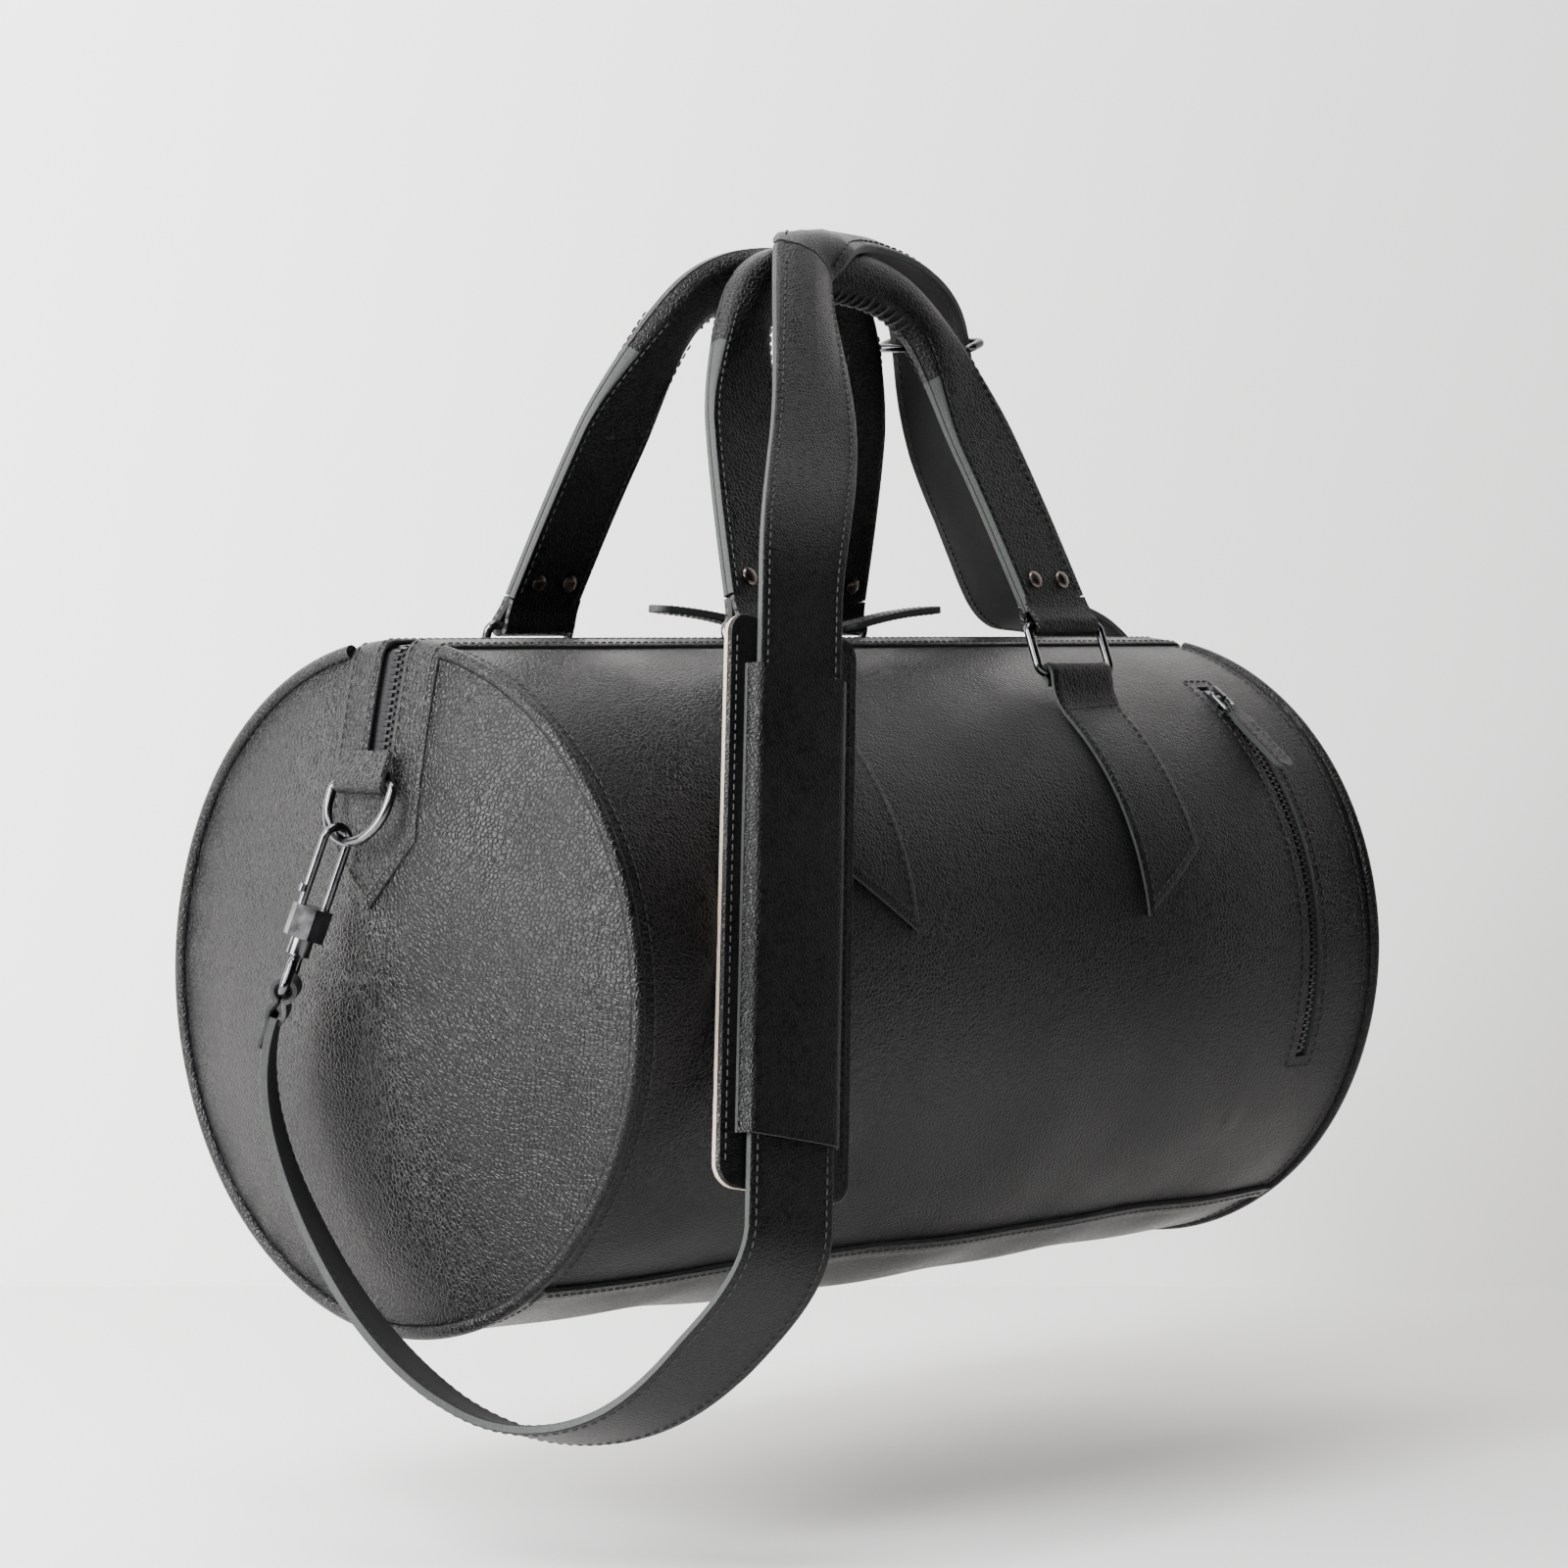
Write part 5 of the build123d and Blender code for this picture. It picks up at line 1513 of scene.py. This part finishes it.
    def long_strip(self) -> None:
        """Lower strip: left hook, slack loop, up through the pad to the grip."""
        start = self.eye_left + self.down_left * 11
        straight = 24.0
        loop = [start, [-271, 4, -97], [-260, -28, -139], [-238, -66, -167], [-217, -113, -163], [-199, -151, -130],
                self.pad_low + self.pad_dir * straight]
        turn = np.array([self.across_left, [0.72, 0.69, 0], [0.8, 0.6, -0.1], [0.9, 0.4, -0.25], [0.97, 0.1, -0.25],
                         self.pad_across, self.pad_across])
        low = spline(np.array(loop, float), 130, self.down_left, -self.pad_dir)
        rise_start = self.pad_top - self.pad_dir * straight
        rise = spline(np.array([rise_start, [-84, -88, 215], [-44, -50, 275], [-24, -31, 302]], float), 60,
                      -self.pad_dir, np.array([0.55, 0.5, 0.62]))
        rise_turn = np.array([self.pad_across, [0.9, -0.35, -0.3], [0.85, -0.35, -0.45], [0.85, -0.2, -0.5]])
        mid = np.linspace(low[-1], rise[0], 40)[1:-1]
        path = np.concatenate([low, mid, rise])
        across = np.concatenate([spread(turn, 130), np.tile(self.pad_across, (38, 1)), spread(rise_turn, 60)])
        bunch = np.concatenate([np.zeros(168), ease((np.linspace(0, 1, 60) - 0.45) / 0.55)])
        end = (self.eye_left, self.across_left, self.down_left)
        obj = self.place(self.strip(path, across, bunch, end), "strap_long_leather", self.palette.hide_strap(),
                         None, ("strap_long",), "strap_leather")
        thread = self.place(self.seams(path[8:-3], across[8:-3], bunch[8:-3]), "strap_long_thread",
                            [self.palette.thread], None, slot="thread")
        for piece in (obj, thread):
            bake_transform(piece)

    def short_strip(self) -> None:
        """Upper strip: over the grips, down the rear shoulder, to the right hook."""
        over = np.array([[-23.3, -30.4, 302.8], [-8, -19, 312.5], [14, -4, 315], [42, 3, 314], [68, 4, 304],
                         [88, 6, 283], [98, 9, 255]], float)
        over_turn = np.array([[0.85, -0.2, -0.5], [0.7, -0.7, -0.15], [0.45, -0.85, 0], [0.2, -1, 0], [0.1, -1, 0],
                              [0.15, -1, 0], [0.2, -1, 0]])
        run = np.array([over[-1], [126, 20, 212], [172, 38, 171], [206, 50, 151.5], [236, 52, 147], [262, 48, 133],
                        [284, 40, 90], [294, 33, 30], [296, 28, -20], [285, 25, -42], [274, 24.5, -26],
                        self.eye_right + self.hook_axis * 11], float)
        run_turn = np.array([[0.2, -1, 0], [0.3, -1, 0], [0.2, -1, 0], [0, -0.95, 0.25], [0, -0.95, 0.3],
                             [0, -0.97, 0.2], [0, -1, 0], [0, -1, 0], [0, -1, 0], [0, -1, 0], -self.across_right,
                             -self.across_right])
        down = np.array([0.32, 0.14, -0.9])
        first = spline(over, 80, np.array([0.55, 0.5, 0.62]), down)
        second = spline(run, 190, down, -self.hook_axis)
        path = np.concatenate([first, second[1:]])
        across = np.concatenate([spread(over_turn, 80), spread(run_turn, 190)[1:]])
        bunch = np.concatenate([1 - ease((np.linspace(0, 1, 80) - 0.45) / 0.4), np.zeros(189)])
        end = (self.eye_right, self.across_right, self.hook_axis)
        obj = self.place(self.strip(path, across, bunch, end), "strap_short_leather",
                         self.palette.hide_strap(), None, ("strap_short",), "strap_leather")
        thread = self.place(self.seams(path[3:-8], across[3:-8], bunch[3:-8]), "strap_short_thread",
                            [self.palette.thread], None, slot="thread")
        ring = self.adjuster(first, spread(over_turn, 80))
        for piece in (obj, thread, ring):
            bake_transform(piece)

    def adjuster(self, path: Array, across: Array) -> bpy.types.Object:
        """Rectangular wire loop round the strap."""
        k = int(round(0.9 * (len(path) - 1)))
        along = tangents(path)[k]
        side = square_to(across[k], along)
        out = np.cross(along, side)
        corner = []
        for a0, cx, cy in ((0, 21.5, 2.5), (90, -21.5, 2.5), (180, -21.5, -2.5), (270, 21.5, -2.5)):
            a = np.radians(np.linspace(a0, a0 + 90, 9))
            corner.append(np.stack([cx + 2.5 * np.cos(a), cy + 2.5 * np.sin(a)], axis=1))
        flat = np.concatenate(corner)
        line = path[k] + flat[:, 0:1] * side + flat[:, 1:2] * out
        return self.place(tube(line, 2.0, 12, closed=True), "adjuster_wire", [self.palette.nickel], None,
                          ("adjuster",), "black_nickel")

    @staticmethod
    def row(point: Array | list[float]) -> tuple[float, float, float]:
        """Bag millimetres as a point of the row's frame in metres."""
        p = (np.asarray(point, float) + np.array([0.0, 0.0, DATUM.axis_z])) * MM
        return (float(p[0]), float(p[1]), float(p[2]))

    def pad(self) -> None:
        """Stitched backing and the raised sleeve that the strap slides in."""
        middle = (self.pad_top + self.pad_low) / 2
        cavity = self.thick + 1.0
        half_w, half_l, corner = 32.0, 115.0, 9.0
        v = spaced(-half_l, -half_l + corner, half_l - corner, half_l, step=3.0)
        v = np.concatenate([-half_l + corner * (1 - np.cos(np.linspace(0, np.pi / 2, 9))), v[(np.abs(v) < half_l - corner)],
                            half_l - corner * (1 - np.cos(np.linspace(np.pi / 2, 0, 9)))])
        over = np.clip(np.abs(v) - (half_l - corner), 0, corner)
        width = half_w - corner + np.sqrt(np.maximum(corner**2 - over**2, 0))
        u = spaced(-1.0, -0.965, 0.965, 1.0, step=0.08)
        gu = u[None, :] * width[:, None]
        depth = np.minimum(width[:, None] - np.abs(gu), (half_l - np.abs(v))[:, None])
        low = -cavity / 2 - 3.4
        grain = low + rolled(depth, 3.4, 1.0) - 0.25 * hump(depth, 5.0, 1.2)
        top = self.pad_grid(middle, gu, v[:, None], grain)
        bottom = self.pad_grid(middle, gu, v[:, None], np.full_like(gu, low))
        skins = [self.palette.strap, self.palette.core, self.palette.flesh]
        backing = self.place(slab(top, bottom), "pad_backing_leather", skins, "shoulder_pad", ("pad_backing",),
                             "pad_leather")
        v = spaced(-94.0, -93.0, 93.0, 94.0, step=3.0)
        u = spaced(-24.5, -23.6, -21.2, 21.2, 23.6, 24.5, step=2.0)
        arch = ease((24.5 - np.abs(u)) / 4.4)
        gu = np.broadcast_to(u[None, :], (len(v), len(u)))
        base = -cavity / 2 + 0.1
        rise = base + 1.7 + (cavity - 0.1) * arch[None, :] + 0.25 * np.cos(v[:, None] / 17) * arch[None, :]
        bottom_h = np.maximum(base, base + (cavity + 0.0) * arch - 0.1)[None, :] + 0 * rise
        top = self.pad_grid(middle, gu, v[:, None], rise)
        bottom = self.pad_grid(middle, gu, v[:, None], bottom_h)
        sleeve = self.place(slab(top, bottom), "pad_sleeve_leather", skins[:1] + [self.palette.edge, skins[2]],
                            "shoulder_pad", ("pad_sleeve",), "strap_leather")
        rows = []
        line_v = np.linspace(-92, 92, 90)
        for sign in (-1, 1):
            line = self.pad_grid(middle, np.full((90, 1), sign * 22.9), line_v[:, None], np.full((90, 1), base + 1.9))
            rows.append(stitches(line[:, 0], np.tile(self.pad_out, (90, 1))))
            line = self.pad_grid(middle, np.full((90, 1), sign * 28.2), line_v[:, None] * 1.15,
                                 np.full((90, 1), low + 3.35))
            rows.append(stitches(line[:, 0], np.tile(self.pad_out, (90, 1))))
        self.place(merged(rows), "pad_thread", [self.palette.thread], "shoulder_pad", slot="thread")

    def pad_grid(self, middle: Array, u: Array, v: Array, w: Array) -> Array:
        """Points on the pad: across it, down it and out of it, slightly bowed."""
        u, v, w = np.broadcast_arrays(u, v, w)
        bow = -1.2 * (np.abs(u) / 32.0) ** 2
        return (middle + u[..., None] * self.pad_across + v[..., None] * self.pad_dir
                + (w + bow)[..., None] * self.pad_out)

    def loops(self) -> None:
        """Leather loop round each D-ring's bar."""
        for side in Side:
            bar = np.array([HALF + 18.2, 82.0])
            roll = 2.05 + 0.95
            th = np.radians(np.linspace(20, -190, 26))
            ring = bar + roll * np.stack([np.cos(th), np.sin(th)], axis=1)
            upper = np.array([[bar[0] - 2.0, 95.0], [bar[0] - 0.2, 90.5]])
            line = spline(np.concatenate([upper, ring, [[bar[0] - 3.1, 86.5]]]), 60)
            turn = tangents(line)
            normal = np.stack([-turn[:, 1], turn[:, 0]], axis=1)
            if np.mean(np.sum(normal * (line - bar), axis=1)) < 0:
                normal = -normal
            y = spaced(-14.5, -13.8, 13.8, 14.5, step=2.6)
            grain = rolled(14.5 - np.abs(y)[None], 1.9, 0.7) - 0.95
            faces = []
            for height in (grain + 0 * line[:, 0:1], -0.95 + 0 * (line[:, 0:1] + y[None])):
                x = line[:, 0:1] + normal[:, 0:1] * height
                z = line[:, 1:2] + normal[:, 1:2] * height
                faces.append(np.stack([side.value * x, np.broadcast_to(y[None], x.shape), z], axis=-1))
            name = side.name.lower()
            self.place(slab(faces[0], faces[1]), f"d_loop_{name}_leather", self.palette.hide(),
                       stands_for=(f"d_loop_{name}",))


@dataclass
class OutsidePocket(SubAssembly):
    """Zip let into the front panel, with the pocket bag behind it."""

    def build(self) -> None:
        """Make the pocket zip."""
        low, high = POCKET_ARC
        x = POCKET_X + np.linspace(-11, 11, 9)
        a = np.linspace(low - 2, high + 2, 60)[:, None]
        tape = slab(FORM.wall(x, a, -LEATHER - 0.2), FORM.wall(x, a, -LEATHER - 0.9))
        self.place(tape, "pocket_tape_cloth", [self.palette.tape], stands_for=("pocket_tape",), slot="zip_tape")
        self.chain()
        x = spaced(40.0, POCKET_X + 26, step=8.0)
        a = spaced(low - 6, high + 14, step=3.0)[:, None]
        bag = slab(FORM.wall(x, a, -3.2), FORM.wall(x, a, -4.2))
        self.place(bag, "pocket_bag_cloth", [self.palette.cloth], stands_for=("pocket_bag",), slot="lining_cloth")
        self.frame_seam()
        self.pull()
        self.dress(("pocket_slider", "pocket_link"), self.palette.nickel)

    def chain(self) -> None:
        """Nylon teeth, one from each side in turn."""
        step = np.degrees(1.5 / R)
        a = np.arange(POCKET_ARC[0] + 1, POCKET_ARC[1] - 1, step)
        count = len(a)
        x = np.full(count, POCKET_X)
        centre = FORM.wall(x, a, -LEATHER + 0.5)
        out = FORM.wall_normal(x, a)
        along = np.cross(out, [1.0, 0.0, 0.0])
        side = np.where(np.arange(count) % 2, 1.0, -1.0)
        corner = np.array([[s, w, h] for s in (-0.5, 0.5) for w in (-0.5, 2.2) for h in (-0.5, 0.5)])
        local = corner[None] * np.stack([np.ones(count), side, np.ones(count)], axis=1)[:, None]
        basis = np.stack([along, np.broadcast_to([1.0, 0, 0], along.shape), out], axis=1)
        points = centre[:, None] + np.einsum("spk,skj->spj", local, basis)
        box = np.array([[0, 1, 3, 2], [4, 6, 7, 5], [0, 4, 5, 1], [2, 3, 7, 6], [0, 2, 6, 4], [1, 5, 7, 3]])
        faces = np.where(side[:, None, None] > 0, box[None], box[None, :, ::-1])
        faces = (faces + (np.arange(count) * 8)[:, None, None]).reshape(-1, 4)
        self.place(Solid(points.reshape(-1, 3), [faces]).outward(), "pocket_teeth_coil", [self.palette.teeth],
                   stands_for=("pocket_teeth",), slot="zip_teeth")

    def frame_seam(self) -> None:
        """Stitched rectangle round the slot."""
        low, high = POCKET_ARC
        inset = 4.6
        a = np.linspace(low - 2, high + 2, 90)
        rows = []
        for sign in (-1, 1):
            x = np.full_like(a, POCKET_X + sign * (POCKET_HALF + inset))
            rows.append(stitches(FORM.wall(x, a), FORM.wall_normal(x, a)))
        for angle in (low - 2, high + 2):
            x = np.linspace(POCKET_X - POCKET_HALF - inset, POCKET_X + POCKET_HALF + inset, 12)
            ends = np.full_like(x, angle)
            rows.append(stitches(FORM.wall(x, ends), FORM.wall_normal(x, ends)))
        self.place(merged(rows), "pocket_thread", [self.palette.thread], slot="thread")

    def pull(self) -> None:
        """Folded leather pull on the pocket slider's link."""
        low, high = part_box("pocket_pull")
        top = np.array([POCKET_X, low.y / MM, high.z / MM - DATUM.axis_z])
        joint = next(j for j in frame["joints"] if j["name"] == "pocket_pull_swing")
        pivot = np.array(joint["pos_m"]) / MM - [0, 0, DATUM.axis_z]
        slope = np.radians(36.0)
        droop = np.radians(3.0)
        down = np.array([0.0, -np.cos(slope), -np.sin(slope)])
        out = np.array([0.0, -np.sin(slope), np.cos(slope)])
        run = down * np.cos(droop) - out * np.sin(droop)
        lift = out * np.cos(droop) + down * np.sin(droop)
        start = pivot + run * 12.0
        LOG.debug("pocket pull hangs from %s, box top %s", pivot, top)
        t = np.concatenate([[-1.9, -1.0], np.linspace(0, 35.5, 18), np.linspace(36.5, 40, 6)])
        path = start + t[:, None] * run
        tip = np.sqrt(np.clip(1 - ((t - 35.5) / 4.6) ** 2, 0.1, 1))
        wide = np.where(t < 9, 5.5 + 4.5 * ease((t - 1) / 7), 10.0) * np.where(t > 35.5, tip, 1)
        thick = np.where(t < 3, 4.2 - 1.0 * ease((t + 2) / 5), 3.2)
        section, kinds = strap_section(wide, thick, 0.7)
        skins = [self.palette.leather, self.palette.edge, self.palette.leather]
        piece = swept(path, np.broadcast_to([1.0, 0.0, 0.0], path.shape), section, kinds=kinds)
        self.place(piece, "pocket_pull_leather", skins, "pocket_pull", ("pocket_pull",))
        span = np.linspace(9, 36, 20)
        rows = []
        for sign in (-1, 1):
            line = start + span[:, None] * run + lift * 1.6 + np.array([sign * 3.1, 0, 0])
            rows.append(stitches(line, np.broadcast_to(lift, line.shape), 3.6, 2.5, 0.7))
        self.place(merged(rows), "pocket_pull_thread", [self.palette.thread], "pocket_pull", slot="thread")


# ---- stage -----------------------------------------------------------------------
@dataclass
class Stage:
    """Camera, floor, wall and soft lights."""

    floor_z: float = -0.52

    def camera(self) -> None:
        """Camera fitted to the reference view."""
        data = bpy.data.cameras.new("camera")
        data.lens = 105.7
        data.sensor_width = 36.0
        data.clip_end = 50.0
        camera = bpy.data.objects.new("camera", data)
        camera.location = (-1.4502, -1.3816, -0.1525)
        camera.rotation_euler = (np.radians(88.04), 0.0, np.radians(-46.2))
        bpy.context.scene.collection.objects.link(camera)
        bpy.context.scene.camera = camera

    def build(self) -> None:
        """Floor, wall, lights and world."""
        paint = PlainFinish("stage_paint", "e9e8e6", 0.75, 30.0, 0.02).make()
        along = np.array([0.7218, 0.6921, 0.0])
        side = np.array([0.6921, -0.7218, 0.0])
        back = along * 0.55
        size = 6.0
        floor = [back + along * 0 + side * -size, back + side * size, back - along * size + side * size,
                 back - along * size - side * size]
        self.plane("floor", np.array(floor) + [0, 0, self.floor_z], paint)
        wall = [back - side * size, back + side * size, back + side * size + [0, 0, size], back - side * size + [0, 0, size]]
        self.plane("wall", np.array(wall) + [0, 0, self.floor_z], self.one_sided(paint))
        self.light("key", (-1.85, 0.42, 0.30), (-0.2, -0.05, -0.25), 1.1, 105.0)
        self.light("front", (-1.7, -1.1, 1.0), (-0.15, 0.0, -0.25), 0.6, 16.0)
        self.light("top", (-0.35, -0.1, 1.7), (0.0, 0.0, -0.5), 1.0, 30.0)
        self.light("wall_wash", (-1.3, 0.1, 0.9), (-1.1, 1.3, 0.2), 0.9, 75.0)
        world = bpy.data.worlds.new("studio")
        world.use_nodes = True
        world.node_tree.nodes["Background"].inputs["Color"].default_value = linear("dfe2e6")
        world.node_tree.nodes["Background"].inputs["Strength"].default_value = 0.05
        bpy.context.scene.world = world

    @staticmethod
    def one_sided(paint: bpy.types.Material) -> bpy.types.Material:
        """Copy of the paint that is clear from behind, so the wall hides nothing.

        Args:
            paint: the stage paint.

        Returns:
            The wall's material.
        """
        material = paint.copy()
        tree = material.node_tree
        output = next(n for n in tree.nodes if n.type == "OUTPUT_MATERIAL")
        clear = tree.nodes.new("ShaderNodeBsdfTransparent")
        mix = tree.nodes.new("ShaderNodeMixShader")
        side = tree.nodes.new("ShaderNodeNewGeometry")
        tree.links.new(side.outputs["Backfacing"], mix.inputs[0])
        tree.links.new(tree.nodes["Principled BSDF"].outputs[0], mix.inputs[1])
        tree.links.new(clear.outputs[0], mix.inputs[2])
        tree.links.new(mix.outputs[0], output.inputs["Surface"])
        return material

    def plane(self, name: str, corners: Array, material: bpy.types.Material) -> None:
        """One flat stage surface."""
        mesh = bpy.data.meshes.new(name)
        mesh.from_pydata([tuple(map(float, c)) for c in corners], [], [(0, 1, 2, 3)])
        mesh.materials.append(material)
        obj = bpy.data.objects.new(name, mesh)
        bpy.context.scene.collection.objects.link(obj)

    def light(self, name: str, place: tuple, target: tuple, size: float, watts: float) -> None:
        """One square soft light aimed at a point."""
        data = bpy.data.lights.new(name, "AREA")
        data.shape = "SQUARE"
        data.size = size
        data.energy = watts
        lamp = bpy.data.objects.new(name, data)
        lamp.location = place
        aim = np.array(target, float) - np.array(place, float)
        lamp.rotation_mode = "QUATERNION"
        lamp.rotation_quaternion = Vector(aim.tolist()).to_track_quat("-Z", "Y")
        bpy.context.scene.collection.objects.link(lamp)


def main() -> None:
    """Build the scene in order."""
    logging.basicConfig(level=logging.INFO)
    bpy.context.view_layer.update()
    stage = Stage()
    stage.camera()
    palette = Palette()
    for maker in (Shell, MainZip, RingPatch, Handle, ShoulderStrap, OutsidePocket):
        group = maker(palette)
        group.build()
        LOG.info("%s: %d pieces", maker.__name__, len(group.made))
    stage.build()


if __name__ == "__main__":
    main()
